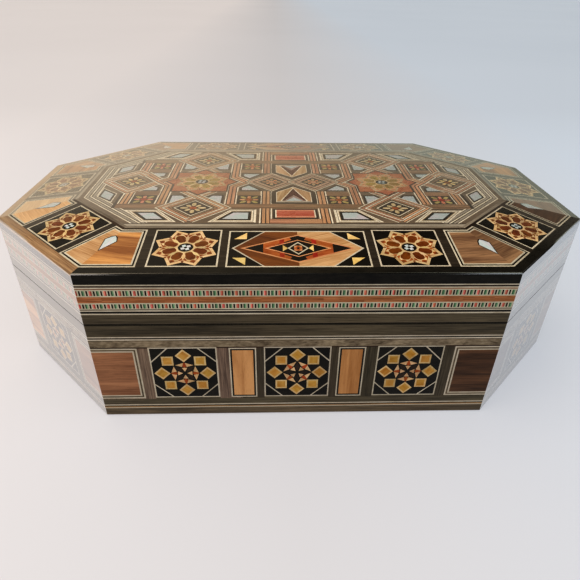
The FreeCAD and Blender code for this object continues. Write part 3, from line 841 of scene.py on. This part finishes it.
def draw_border_side(sheet, half, name):
    """Star tiles, a lozenge tile where the side is long, and a corner tile at both ends."""
    pen = Pen(sheet)
    # brown on the left sides is partly a painted warm reflection
    edge_wood = LIT_BORDER_EDGES.get(name, "ebony")
    # a dark line, then the walnut strip up to the ridge, lightened by a painted sheen
    bands(pen, half, [(-0.01, 0.048, edge_wood), (0.350, 0.367, "dark"), (0.367, BORDER, "ridge")])
    corner_start, stars = 0.203, [(0, 0.203)]
    if half > LONG_SIDE:
        corner_start, stars = 0.733, [(-0.529, 0.200), (0.529, 0.200)]
        lozenge_tile(pen.at(0, 0.1935), 0.333, 0.1465)
    for x, y in stars:
        star_tile(pen.at(x, y), 0.161, 0.150)
    number = SIDE_NAMES.index(name)
    for side, wood, corner in zip((-1, 1), BORDER_CORNERS[name], (number, (number + 1) % 8)):
        corner_half(pen.at(size=(side, 1)), half, corner_start, wood, KITE_SHIFTS.get(corner, 0.0))


# ---------------- panel of the lid

PEARL_LINES = (("dark", 0.012),)
PEARL_FRAME = (("bone", 0.008), ("dark", 0.003), ("bone", 0.008), ("tan", 0.004), ("ebony", 0.014))


def half_of_end_strap(pen):
    """The striped strap round each end of the panel."""
    end_x, end_y, corner_x, corner_y = 1.139, 0.2467, 0.776, 0.6075
    route = [(corner_x, -corner_y), (end_x, -end_y), (end_x, end_y), (corner_x, corner_y)]
    pen.strap(route, END_STRAP)


def pearl_pieces(pen):
    """The pieces of mother-of-pearl of one quarter of the panel."""
    kite = [(0.700, 0.215), (0.628, 0.215), (0.596, 0.263), (0.700, 0.368)]
    mirrored = [(1.096 - x, y) for x, y in kite]
    corner = [(0.782, 0.156), (0.782, 0.096), (0.826, 0.066), (0.905, 0.156)]
    inner_corner = [(0.313, 0.149), (0.313, 0.096), (0.262, 0.047), (0.174, 0.149)]
    for points in (kite, mirrored, corner, inner_corner):
        pen.framed(points, PEARL_LINES, "pearl")
    trapezoid = [(0.452, 0.580), (0.212, 0.580), (0.212, 0.424), (0.346, 0.424)]
    slanted = [(0.905, 0.430), (0.728, 0.430), (0.610, 0.580), (0.785, 0.580)]
    for points in (trapezoid, slanted):
        pen.framed(points, PEARL_FRAME, "pearl")
    rhombus = [(1.104, 0.113), (1.104, 0.247), (1.004, 0.333), (1.004, 0.199)]
    pen.framed(rhombus, (("bone", 0.006), ("dark", 0.012)), "pearl")
    pen.add(rectangle(0.207, 0.216, 0.420, 0.585), "bone")


def strap_work(pen):
    """The striped straps of one quarter of the panel."""
    inner_x, middle_x, outer_x, far_x = 0.157, 0.354, 0.736, 0.935
    end_y = 0.4055
    pen.add(rectangle(0.965, 0.985, 0.20, end_y), "dark", 90)
    pen.strap([(middle_x, end_y), (middle_x, 0.080), (0.277, 0.0)], STRAP)
    pen.strap([(far_x, end_y), (far_x, 0.170), (0.795, 0.0), (outer_x, -0.06), (outer_x, -0.12)], STRAP)
    pen.strap([(outer_x, end_y), (outer_x, 0.06), (0.795, 0.0)], STRAP)
    pen.strap([(1.120, 0.0), (0.957, 0.163), (0.90, 0.106)], NARROW_STRAP)
    for bounds in ((0.700, 0.968, 0.345, end_y), (0.187, 0.324, 0.163, 0.222), (0.766, 0.905, 0.163, 0.222)):
        pen.add(rectangle(*bounds), "band")
    pen.strap([(inner_x, 0.595), (inner_x, 0.155)], STRAP)
    pen.add(rectangle(0.0, 0.384, 0.345, end_y), "band")
    for y in (0.358, 0.392):
        for start, end in ((0.0, 0.384), (0.700, 0.968)):
            pen.add(rectangle(start, end, y - 0.0015, y + 0.0015), "dark")


def flower_diamonds(pen):
    """The diamonds with flowers on the long axis of each rosette, with their straps."""
    x, y, reach = 0.548, 0.400, 0.163
    rosette_edge = 0.150
    aside = y - reach - rosette_edge
    for side in (1, -1):
        pen.strap([(x - side * aside, rosette_edge), (x + side * reach, y), (x, y + reach)], NARROW_STRAP)
    for size, wood in ((0.128, "tan"), (0.116, "dark"), (0.106, "bone"), (0.097, "dark")):
        pen.add(diamond(x, y, size, size), wood, 45)
    small_flower(pen.at(x, y, 45), 0.060, ("pale", "pale", "flame"))


def centre_block(pen):
    """Half of the block at the middle of the long side: a red bar, and an arrow in a hexagon."""
    bars = [(0.118, 0.412, 0.540, "dark"), (0.107, 0.424, 0.524, "bone"), (0.100, 0.424, 0.524, "rose")]
    bars += [(0.100, 0.442, 0.505, "carmine"), (0.135, 0.540, 0.598, "strap")]
    bars += [(0.135, y - 0.002, y + 0.002, "dark") for y in (0.543, 0.556, 0.580)]
    for end, low, high, wood in bars:
        pen.add(rectangle(0, end, low, high), wood)
    for low, corner, reach, top, wood, grain in (
        (0.053, 0.170, 0.128, 0.338, "dark", 90),
        (0.082, 0.170, 0.100, 0.318, "bone", 90),
        (0.090, 0.173, 0.096, 0.312, "honey", 80),
    ):
        pen.add([(0, low), (reach, corner), (reach, top), (0, top)], wood, grain)
    for low, reach, top, wood, grain in (
        (0.098, 0.078, 0.302, "bone", 70),
        (0.112, 0.069, 0.297, "dark_red", 70),
        (0.212, 0.064, 0.306, "mauve", 60),
        (0.246, 0.048, 0.300, "pearl", 0),
    ):
        pen.add([(0, low), (reach, top), (0, top)], wood, grain)
    pen.add(rectangle(0, 0.094, 0.303, 0.320), "grey")


def rosette(pen):
    """The large flower on its eight-pointed red star."""
    for tip, half, wood in ((0.222, 0.166, "dark"), (0.208, 0.157, "rosette_red")):
        pen.add(diamond(0, 0, tip, tip), wood, 45)
        pen.add(rectangle(-half, half, -half, half), wood, 45)
    star_flower(pen, 0.164, ("lemon", "rim_red", "lemon", "olive", "rim_red"))


def centre_diamonds(pen):
    """The two plain straps that cross at the very middle, each round a flower."""
    for side in (-1, 1):
        x = 0.127 * side
        pen.add(diamond(x, 0, 0.164, 0.164), "dark", 45)
        route = [Vector((x, 0)) + polar(0.113, 90 * i) for i in (0, 1, 2, 3, 0)]
        pen.strap(route, CENTRE_STRAP)
    for side in (-1, 1):
        x = 0.127 * side
        pen.add(diamond(x, 0, 0.076, 0.076), "ebony", 45)
        small_flower(pen.at(x, 0, 45), 0.050, ("cream", "rim_red", "strap"))


def draw_panel(sheet):
    """Straps and inlays of the panel: four mirrored quarters, then what lies on the two axes."""
    pen = Pen(sheet)
    half_of_end_strap(pen)
    half_of_end_strap(pen.at(size=(-1, 1)))
    quarters = [pen.at(size=(x, y)) for x in (-1, 1) for y in (-1, 1)]
    for quarter in quarters:
        pearl_pieces(quarter)
    for quarter in quarters:
        strap_work(quarter)
    for quarter in quarters:
        flower_diamonds(quarter)
        centre_block(quarter)
        for x, cross, heart in ((0.253, "rim_red", "flame"), (0.837, "rose", "red_wood")):
            quarter.add(rectangle(x - 0.066, x + 0.066, 0.222, 0.345), "dark", 90)
            small_flower(quarter.at(x, 0.2835), 0.058, ("pale_green", cross, heart))
    for side in (-1, 1):
        end_diamond = pen.at(0.957 * side, 0)
        end_diamond.add(diamond(0, 0, 0.100, 0.100), "band", 45)
        small_flower(end_diamond.at(turn=45), 0.060, ("pale", "yellow", "amber"))
        rosette(pen.at(0.548 * side, 0))
    centre_diamonds(pen)
    width, depth = (END_X - BORDER_WIDTH) / MODULE, (FACE_Y - BORDER_WIDTH) / MODULE
    # round the panel's edge: a grey strip, its walnut lightened by a painted sheen, then a dark line
    for side in (-1, 1):
        for near, far, wood in ((0.029, -0.01, "grey"), (0.034, 0.027, "dark")):
            pen.add(rectangle(-width, width, side * (depth - near), side * (depth - far)), wood)


# ---------------- sheets of veneer into solid pieces


class Side:
    """One side of the box: x runs along it, y from the outline inwards, z up, in metres."""

    def __init__(self, name, start, end):
        self.name = name
        self.half = (end - start).length / 2
        self.middle = (start + end) / 2
        self.along = (end - start).normalized()
        self.inwards = left_of(self.along)

    def point(self, x, y, z):
        plan = self.middle + self.along * x + self.inwards * y
        return Vector((plan.x, plan.y, z))


OUTLINE = octagon(0)
SIDES = [Side(name, OUTLINE[i], OUTLINE[(i + 1) % 8]) for i, name in enumerate(SIDE_NAMES)]


def new_object(name, mesh_data):
    item = bpy.data.objects.new(name, mesh_data)
    bpy.context.scene.collection.objects.link(item)
    return item


def object_from(name, mesh, woods):
    """Turns a bmesh into an object with these materials in its slots."""
    bmesh.ops.recalc_face_normals(mesh, faces=mesh.faces[:])
    data = bpy.data.meshes.new(name)
    mesh.to_mesh(data)
    mesh.free()
    for wood in woods:
        data.materials.append(MATERIALS[wood])
    return new_object(name, data)


class Slab:
    """A closed slab whose face is a cut sheet; place(x, y, depth) puts a point of the drawing in space."""

    def __init__(self, sheet, place, thickness, edge_wood):
        self.sheet, self.place, self.thickness = sheet, place, thickness
        self.mesh = bmesh.new()
        self.grain_map = self.mesh.loops.layers.uv.new("grain")
        self.tone_map = self.mesh.loops.layers.uv.new("tone")
        self.woods = [edge_wood]
        self.edge_slot = 0
        self.add_face()
        self.order_rim()

    def slot_of(self, wood):
        if wood not in self.woods:
            self.woods.append(wood)
        return self.woods.index(wood)

    def add_face(self):
        """The upper face, with the grain and the tone of each piece in its two maps."""
        points, shown = self.sheet.cut()
        self.vertices = {}
        self.flat = {}
        for triangle, piece in shown:
            for i in triangle:
                if i not in self.vertices:
                    self.vertices[i] = self.mesh.verts.new(self.place(*points[i], 0.0))
                    self.flat[self.vertices[i]] = points[i]
            face = self.mesh.faces.new([self.vertices[i] for i in triangle])
            face.material_index = self.slot_of(piece.wood)
            turn = Matrix.Rotation(-piece.grain, 2)
            for loop, i in zip(face.loops, triangle):
                loop[self.grain_map].uv = turn @ points[i] * MODULE + piece.shift
                loop[self.tone_map].uv = piece.tone

    def order_rim(self):
        """Lists the vertices along each side of the outline, from corner to corner."""
        rim = {v for edge in self.mesh.edges if len(edge.link_faces) == 1 for v in edge.verts}
        self.rim = []
        count = len(self.sheet.outline)
        for i, start in enumerate(self.sheet.outline):
            run = self.sheet.outline[(i + 1) % count] - start
            across = left_of(run.normalized())
            near = []
            for vertex in rim:
                away = self.flat[vertex] - start
                share = away.dot(run) / run.length_squared
                on_line = abs(away.dot(across)) < 2 * CUT_TOLERANCE
                if on_line and -CUT_TOLERANCE < share < 1 + CUT_TOLERANCE:
                    near.append((share, vertex))
            near.sort(key=lambda pair: pair[0])
            self.rim.append([vertex for _, vertex in near])

    def wall_face(self, vertices, along, wood_slot=0):
        """A face of the slab's edge; along is the direction of its grain."""
        face = self.mesh.faces.new(vertices)
        face.material_index = wood_slot
        middle = face.calc_center_median()
        for loop in face.loops:
            offset = loop.vert.co - middle
            run = offset.dot(along)
            across = (offset - along * run).length
            loop[self.grain_map].uv = (run + EDGE_GRAIN[0], across + EDGE_GRAIN[1])
            loop[self.tone_map].uv = EVEN_TONE

    def close(self, rounding=None):
        """Adds the edges and the underside. rounding(x, step) gives the steps of a rounded first side."""
        count = len(self.rim)
        down = [[side[0]] for side in self.rim]
        first_side = self.rim[0]
        if rounding:
            rows = [first_side]
            for step in range(1, ROUND_STEPS + 1):
                rows.append([self.mesh.verts.new(rounding(self.flat[v].x, step)) for v in self.rim[0]])
            for upper, lower in zip(rows, rows[1:]):
                self.round_row(upper, lower)
                down[0].append(lower[0])
                down[1].append(lower[-1])
            first_side = rows[-1]
        for i, corner in enumerate(self.sheet.outline):
            down[i].append(self.mesh.verts.new(self.place(*corner, self.thickness)))
        for i, side in enumerate(self.rim):
            start, end = down[i], down[(i + 1) % count]
            along = (end[-1].co - start[-1].co).normalized()
            if i == 0 and rounding:
                corners = [first_side[0], start[-1], end[-1]]
                self.wall_face(corners + first_side[:0:-1], along, self.edge_slot)
            else:
                self.wall_face(start + end[::-1] + side[-2:0:-1], along)
        along = (self.rim[0][-1].co - self.rim[0][0].co).normalized()
        self.wall_face([path[-1] for path in reversed(down)], along)

    def round_row(self, upper, lower):
        """One strip of quads of a rounded edge, with its grain along the edge."""
        for a, b, c, d in zip(upper, upper[1:], lower[1:], lower):
            face = self.mesh.faces.new((a, d, c, b))
            face.material_index = self.edge_slot
            face.smooth = True
            for loop in face.loops:
                x, y, z = loop.vert.co
                loop[self.grain_map].uv = (x + y + ROUND_GRAIN, z)
                loop[self.tone_map].uv = EVEN_TONE


def finish_piece(slab, name, body):
    """Makes the object, which stands for the CAD node of its name."""
    piece = object_from(name, slab.mesh, slab.woods)
    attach(piece, body)
    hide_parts(name)
    return piece


def build_side_veneer(side, body, low, high, draw, seed, cutters):
    """The upright veneer of one side of the box or of the lid, mitred at both ends."""
    half = side.half / MODULE
    # bone on the upright sides is its darker copy, painted shade
    sheet = Sheet(rectangle(-half, half, low, high), "walnut", seed, {"bone": "wall_bone"})
    draw(sheet, half, side.name)

    def place(x, z, depth):
        shrink = (side.half - depth * MITRE) / side.half
        return side.point(x * MODULE * shrink, depth, FOOT_Z + z * MODULE)

    slab = Slab(sheet, place, VENEER, "walnut")
    slab.close()
    piece = finish_piece(slab, f"{body}_veneer_{side.name}", BODIES[body])
    for cutter in cutters:
        cut_away(piece, cutter)


def build_border_strip(side, seed):
    """One sloping strip of the lid's border, rounded where it meets the wall."""
    half = side.half / MODULE
    slope = math.atan2(BORDER_RISE, BORDER_WIDTH)
    start = EDGE_ROUND * (1 - math.sin(slope)) / MODULE
    inner_half = half - BORDER * MITRE
    start_half = half - start * MITRE
    outline = [(-start_half, start), (start_half, start), (inner_half, BORDER), (-inner_half, BORDER)]
    # bone on the border is its darker copy, painted shade
    sheet = Sheet(outline, "border_walnut", seed, {"bone": "border_bone"})
    draw_border_side(sheet, half, side.name)

    def place(x, s, depth):
        s = 0.0 if depth and s < BORDER / 2 else s
        x = math.copysign(half - s * MITRE, x) if depth else x
        height = LID_EDGE_Z + BORDER_RISE * s / BORDER
        return side.point(x * MODULE, s * MODULE, height - depth)

    def rounding(x, step):
        angle = (math.pi / 2 - slope) * step / ROUND_STEPS
        s = EDGE_ROUND * (1 - math.sin(slope + angle))
        drop = EDGE_ROUND * (math.cos(slope) - math.cos(slope + angle))
        reach = (side.half - s * MITRE) / (start_half * MODULE)
        top = LID_EDGE_Z + BORDER_RISE * start / BORDER
        return side.point(x * MODULE * reach, s, top - drop)

    slab = Slab(sheet, place, PANEL_THICK, "walnut")
    # the rounded edge takes the same wood, brown with a painted warm reflection on the left sides
    slab.edge_slot = slab.slot_of(LIT_BORDER_EDGES.get(side.name, "ebony"))
    slab.close(rounding)
    finish_piece(slab, f"lid_border_{side.name}", "lid")


def build_panel(seed):
    """The flat panel in the middle of the lid."""
    sheet = Sheet([corner / MODULE for corner in octagon(BORDER_WIDTH)], "ground", seed)
    draw_panel(sheet)

    def place(x, y, depth):
        return Vector((x * MODULE, y * MODULE, PANEL_Z - depth))

    slab = Slab(sheet, place, PANEL_THICK, "walnut")
    slab.close()
    finish_piece(slab, "lid_panel", "lid")


def cut_away(piece, cutter):
    """Takes the cutter's volume out of a piece for good."""
    modifier = piece.modifiers.new("cut", "BOOLEAN")
    modifier.operation = "DIFFERENCE"
    modifier.solver = "EXACT"
    modifier.object = cutter
    evaluated = piece.evaluated_get(bpy.context.evaluated_depsgraph_get())
    cut_data = bpy.data.meshes.new_from_object(evaluated)
    piece.modifiers.clear()
    piece.data = cut_data


def add_prism(mesh, section, low_x, high_x):
    """Adds a closed prism along x; its section is given as (y, z) from the axis of the hinges."""
    ends = [[mesh.verts.new((x, AXIS.y + y, AXIS.z + z)) for y, z in section] for x in (low_x, high_x)]
    mesh.faces.new(ends[0])
    mesh.faces.new(ends[1][::-1])
    for i in range(len(section)):
        j = (i + 1) % len(section)
        mesh.faces.new((ends[0][j], ends[0][i], ends[1][i], ends[1][j]))


def make_rear_cutters():
    """The V between the bevelled rear edges, and the round grooves of the two hinges in them."""
    bevels, grooves = bmesh.new(), bmesh.new()
    reach = 2 * (FACE_Y - AXIS.y)
    rise = reach * math.tan(REAR_BEVEL)
    add_prism(bevels, [(0, 0), (reach, -rise), (reach, rise)], -END_X, END_X)
    circle = [polar(GROOVE_RADIUS, 360 * step / GROOVE_STEPS) for step in range(GROOVE_STEPS)]
    for side in HINGE_SIDES:
        low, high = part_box(f"hinge_leaf_body_{side}")
        add_prism(grooves, circle, low.x - GROOVE_SPARE, high.x + GROOVE_SPARE)
    return [object_from("bevel_cutter", bevels, []), object_from("groove_cutter", grooves, [])]


# ---------------- velvet linings


def divided(outline, spacing):
    """Points along a closed outline, from its corners on, at most this far apart."""
    points = []
    for start, end in zip(outline, outline[1:] + outline[:1]):
        count = math.ceil((end - start).length / spacing)
        points += [start.lerp(end, i / count) for i in range(count)]
    return points


def octagon_grid(inset_by, spacing):
    """Points and triangles that fill an octagon, finer near its edge."""
    rim = divided(octagon(inset_by), spacing)
    filling = []
    for ring in EDGE_RINGS:
        filling += divided(octagon(inset_by + ring), spacing)
    steps_x, steps_y = int((END_X - inset_by) / spacing), int((FACE_Y - inset_by) / spacing)
    for i in range(-steps_x, steps_x + 1):
        for j in range(-steps_y, steps_y + 1):
            point = Vector((i * spacing, j * spacing))
            if edge_distance(point, inset_by) > EDGE_RINGS[-1] + spacing / 2:
                filling.append(point)
    cut = delaunay_2d_cdt(rim + filling, [], [list(range(len(rim)))], 1, GRID_TOLERANCE, True)
    triangles = [face for face, own in zip(cut[2], cut[5]) if own]
    return cut[0], triangles


def edge_distance(point, inset_by):
    """How far a point in plan lies inside the octagon."""
    x, y = abs(point[0]), abs(point[1])
    end, face = END_X - inset_by, FACE_Y - inset_by
    short_half = FACE_Y - CORNER_CUT - inset_by * MITRE
    return min(end - x, face - y, (end + short_half - x - y) / math.sqrt(2))


def finish_velvet(name, mesh, node, body):
    """Makes a piece of the lining, which stands for a CAD node."""
    lining = object_from(name, mesh, ["velvet"])
    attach(lining, body)
    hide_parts(node)
    return lining


def build_pad(name, node, body, up, seed):
    """A thin pad of velvet over wadding: its soft face is crowned and rolls down to its edge.

    The soft face is the upper one where up is 1, and the lower one where it is -1.
    """
    low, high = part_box(node)
    flat_z, soft_z = (low.z, high.z)[::up]
    inset_by = END_X - high.x
    thickness = soft_z - flat_z
    points, triangles = octagon_grid(inset_by, PAD_SPACING)
    noise = random.Random(seed)
    waves = [(noise.uniform(20, 60), noise.uniform(20, 60), noise.uniform(0, math.tau)) for _ in range(6)]

    def height(point):
        away = edge_distance(point, inset_by)
        roll = math.sqrt(max(0.0, 1 - (1 - min(away / PAD_ROLL, 1)) ** 2))
        crown = 1 - (1 - min(away / PAD_CROWN, 1)) ** 2
        wave = sum(math.sin(point[0] * a + point[1] * b + c) for a, b, c in waves) / len(waves)
        # shares of the thickness that the edge, the roll, the crown and the unevenness have
        return flat_z + thickness * (0.30 + 0.48 * roll + 0.20 * crown + 0.02 * wave * roll)

    mesh = bmesh.new()
    soft = [mesh.verts.new((p.x, p.y, height(p))) for p in points]
    for triangle in triangles:
        mesh.faces.new([soft[i] for i in triangle]).smooth = True
    rim = [edge for edge in mesh.edges if len(edge.link_faces) == 1]
    lower = bmesh.ops.extrude_edge_only(mesh, edges=rim)["geom"]
    for vertex in (v for v in lower if isinstance(v, bmesh.types.BMVert)):
        vertex.co.z = flat_z
    open_edges = [edge for edge in mesh.edges if len(edge.link_faces) == 1]
    bmesh.ops.contextual_create(mesh, geom=open_edges)
    finish_velvet(name, mesh, node, body)


def build_wall_lining(name, node, body, up):
    """Velvet on card round the inside of the walls, rolled over its upper edge, or lower where up is -1."""
    low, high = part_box(node)
    inset_by = END_X - high.x
    hard_z, free_z = (low.z, high.z)[::up]
    soft_z = free_z - up * LINING_THICK / 2
    profile = [(0.0, hard_z)]
    for step in range(LINING_STEPS + 1):
        away = polar(LINING_THICK / 2, 180 * step / LINING_STEPS)
        profile.append((LINING_THICK / 2 - away.x, soft_z + up * away.y))
    profile.append((LINING_THICK, hard_z))
    mesh = bmesh.new()
    rings = [[mesh.verts.new((*p, z)) for p in octagon(inset_by + deep)] for deep, z in profile]
    for upper, lower in zip(rings, rings[1:] + rings[:1]):
        for i in range(8):
            j = (i + 1) % 8
            mesh.faces.new((upper[i], upper[j], lower[j], lower[i])).smooth = True
    for edge in mesh.edges:
        if edge.calc_face_angle(0.0) > SHARP_FOLD:
            edge.smooth = False
    finish_velvet(name, mesh, node, body)


# ---------------- finishes of the CAD pieces


def give_finish(node, material):
    """Puts a material on a CAD node, in place of its plain one."""
    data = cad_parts[node].data
    data.materials.clear()
    data.materials.append(material)


def finish_cad_pieces():
    """Woods of the boards, each with its grain along the board, the felt and the brass."""
    boards = {}
    for side in SIDES:
        turn = math.atan2(side.along.y, side.along.x) % math.pi
        key = round(math.degrees(turn))
        if key not in boards:
            boards[key] = solid_board(f"board_wood_{key}", turn)
        for body in BODIES:
            give_finish(f"{body}_wall_{side.name}", boards[key])
    for node in ("base_board", "lid_board"):
        give_finish(node, boards[0])
    give_finish("base_felt", felt("felt"))
    metal = brass("brass")
    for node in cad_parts:
        if node.startswith("hinge_"):
            give_finish(node, metal)


# ---------------- floor, lights and camera


def build_floor():
    """A wide pale floor of studio paper."""
    mesh = bmesh.new()
    steps = 48
    rings = []
    for radius in (0.3, 0.8, 2.0, 8.0, 30.0):
        rings.append([mesh.verts.new((*polar(radius, 360 * i / steps), 0.0)) for i in range(steps)])
    mesh.faces.new(rings[0])
    for inner, outer in zip(rings, rings[1:]):
        for i in range(steps):
            j = (i + 1) % steps
            mesh.faces.new((inner[i], outer[i], outer[j], inner[j]))
    object_from("studio_floor", mesh, ["paper"])


class WorldNodes(Shader):
    """The nodes of the room's light, with the same short calls as a material's."""

    def __init__(self, tree):
        self.tree = tree
        self.surface = tree.nodes["Background"]

    def directions(self):
        """Sideways, backward and upward part of the direction in which the room is seen."""
        split = self.node("SeparateXYZ", {"Vector": self.node("TexCoord").outputs["Generated"]})
        return split.outputs["X"], split.outputs["Y"], split.outputs["Z"]


def greys(levels):
    return [(place, (level, level, level)) for place, level in levels]


# sine of the height above the horizon, and how bright the room is there as a share of its strength
FRONT_LEVELS = greys([(0.0, 0.21), (0.50, 0.18), (0.65, 0.38), (0.86, 0.38), (0.93, 0.58)])
BACK_LEVELS = greys([(0.0, 0.175), (0.28, 0.155), (0.42, 0.075), (0.60, 0.25), (0.93, 0.50)])
ROOM_STRENGTH = 3.2
# share of the way from left to right, and the colour of the room there
FRONT_TINTS = [(0.0, (1.0, 0.95, 0.90)), (1.0, (0.46, 0.52, 0.60))]
LOW_TINTS = [(0.38, (0.88, 0.74, 0.56)), (0.50, (0.62, 0.51, 0.38)), (0.62, (0.48, 0.50, 0.41))]
HIGH_TINTS = [(0.38, (0.82, 0.71, 0.56)), (0.50, (0.60, 0.49, 0.34)), (0.62, (0.20, 0.17, 0.13))]


def area_light(name, place, target, size, power, colour):
    """A rectangular lamp that faces its target; places and sizes in metres, power in watts."""
    light = bpy.data.lights.new(name, "AREA")
    light.shape = "RECTANGLE"
    light.size, light.size_y = size
    light.energy = power
    light.color = colour
    item = new_object(name, light)
    item.location = place
    item.rotation_mode = "QUATERNION"
    item.rotation_quaternion = (Vector(target) - Vector(place)).to_track_quat("-Z", "Y")


def build_studio():
    """A pale room, brightest overhead, warmer on the left and cooler on the right, and two soft lamps.

    Behind the box the room is darkest a little above the horizon, and the lid's varnish shows that.
    """
    world = bpy.data.worlds.new("pale_room")
    bpy.context.scene.world = world
    world.use_nodes = True
    sky = WorldNodes(world.node_tree)
    sideways, backward, height = sky.directions()
    behind = sky.spread(backward, -0.15, 0.25)
    level = sky.mixed(behind, sky.ramp(height, FRONT_LEVELS), sky.ramp(height, BACK_LEVELS))
    across = sky.spread(sideways, -1.0, 1.0)
    raised = sky.spread(height, 0.24, 0.36)
    back_tint = sky.mixed(raised, sky.ramp(across, LOW_TINTS), sky.ramp(across, HIGH_TINTS))
    tint = sky.mixed(behind, sky.ramp(across, FRONT_TINTS), back_tint)
    sky.set(Color=sky.mixed(1.0, level, tint, "MULTIPLY"), Strength=ROOM_STRENGTH)
    area_light("left", (-0.9, -0.55, 0.35), (0, 0, 0.03), (0.6, 0.5), 2.6, (1.0, 0.87, 0.70))
    area_light("above", (-0.25, -0.1, 1.5), (0, 0, 0), (1.2, 1.0), 3.3, (1.0, 0.99, 0.98))


def build_camera():
    """The photographer's place: in front of the box, a little to the left, looking down at it."""
    yaw, pitch, roll = 0.0401, 0.5699, 0.0181
    lens, sensor_width = 30.27, 36.0
    place = Vector((-0.1173, -2.8599, 1.9633)) * MODULE + Vector((0, 0, FOOT_Z))
    forward = Vector((math.sin(yaw) * math.cos(pitch), math.cos(yaw) * math.cos(pitch), -math.sin(pitch)))
    level = Vector((math.cos(yaw), -math.sin(yaw), 0))
    upright = level.cross(forward)
    right = level * math.cos(roll) + upright * math.sin(roll)
    up = upright * math.cos(roll) - level * math.sin(roll)
    data = bpy.data.cameras.new("camera")
    data.lens = lens
    data.sensor_width = sensor_width
    camera = new_object("camera", data)
    turned = Matrix((right, up, -forward)).transposed().to_4x4()
    camera.matrix_world = Matrix.Translation(place) @ turned
    bpy.context.scene.camera = camera


# ---------------- the whole box

rear_cutters = make_rear_cutters()
for number, side in enumerate(SIDES):
    cutters = rear_cutters if side.name in REAR_SIDES else []
    build_side_veneer(side, "body", 0.0, RIM, draw_body_side, number, cutters)
    build_side_veneer(side, "lid", LID_LOW, LID_SIDE_TOP, draw_lid_side, 10 + number, cutters)
    build_border_strip(side, 20 + number)
build_panel(30)
for cutter in rear_cutters:
    bpy.data.objects.remove(cutter)
build_pad("floor_pad", "floor_lining", "box", 1, 40)
build_pad("lid_pad", "lid_top_lining", "lid", -1, 41)
build_wall_lining("wall_velvet", "wall_lining", "box", 1)
build_wall_lining("lid_wall_velvet", "lid_wall_lining", "lid", -1)
finish_cad_pieces()
build_floor()
build_studio()
build_camera()
bpy.context.scene.view_settings.view_transform = "Standard"
bpy.context.scene.view_settings.look = "High Contrast"
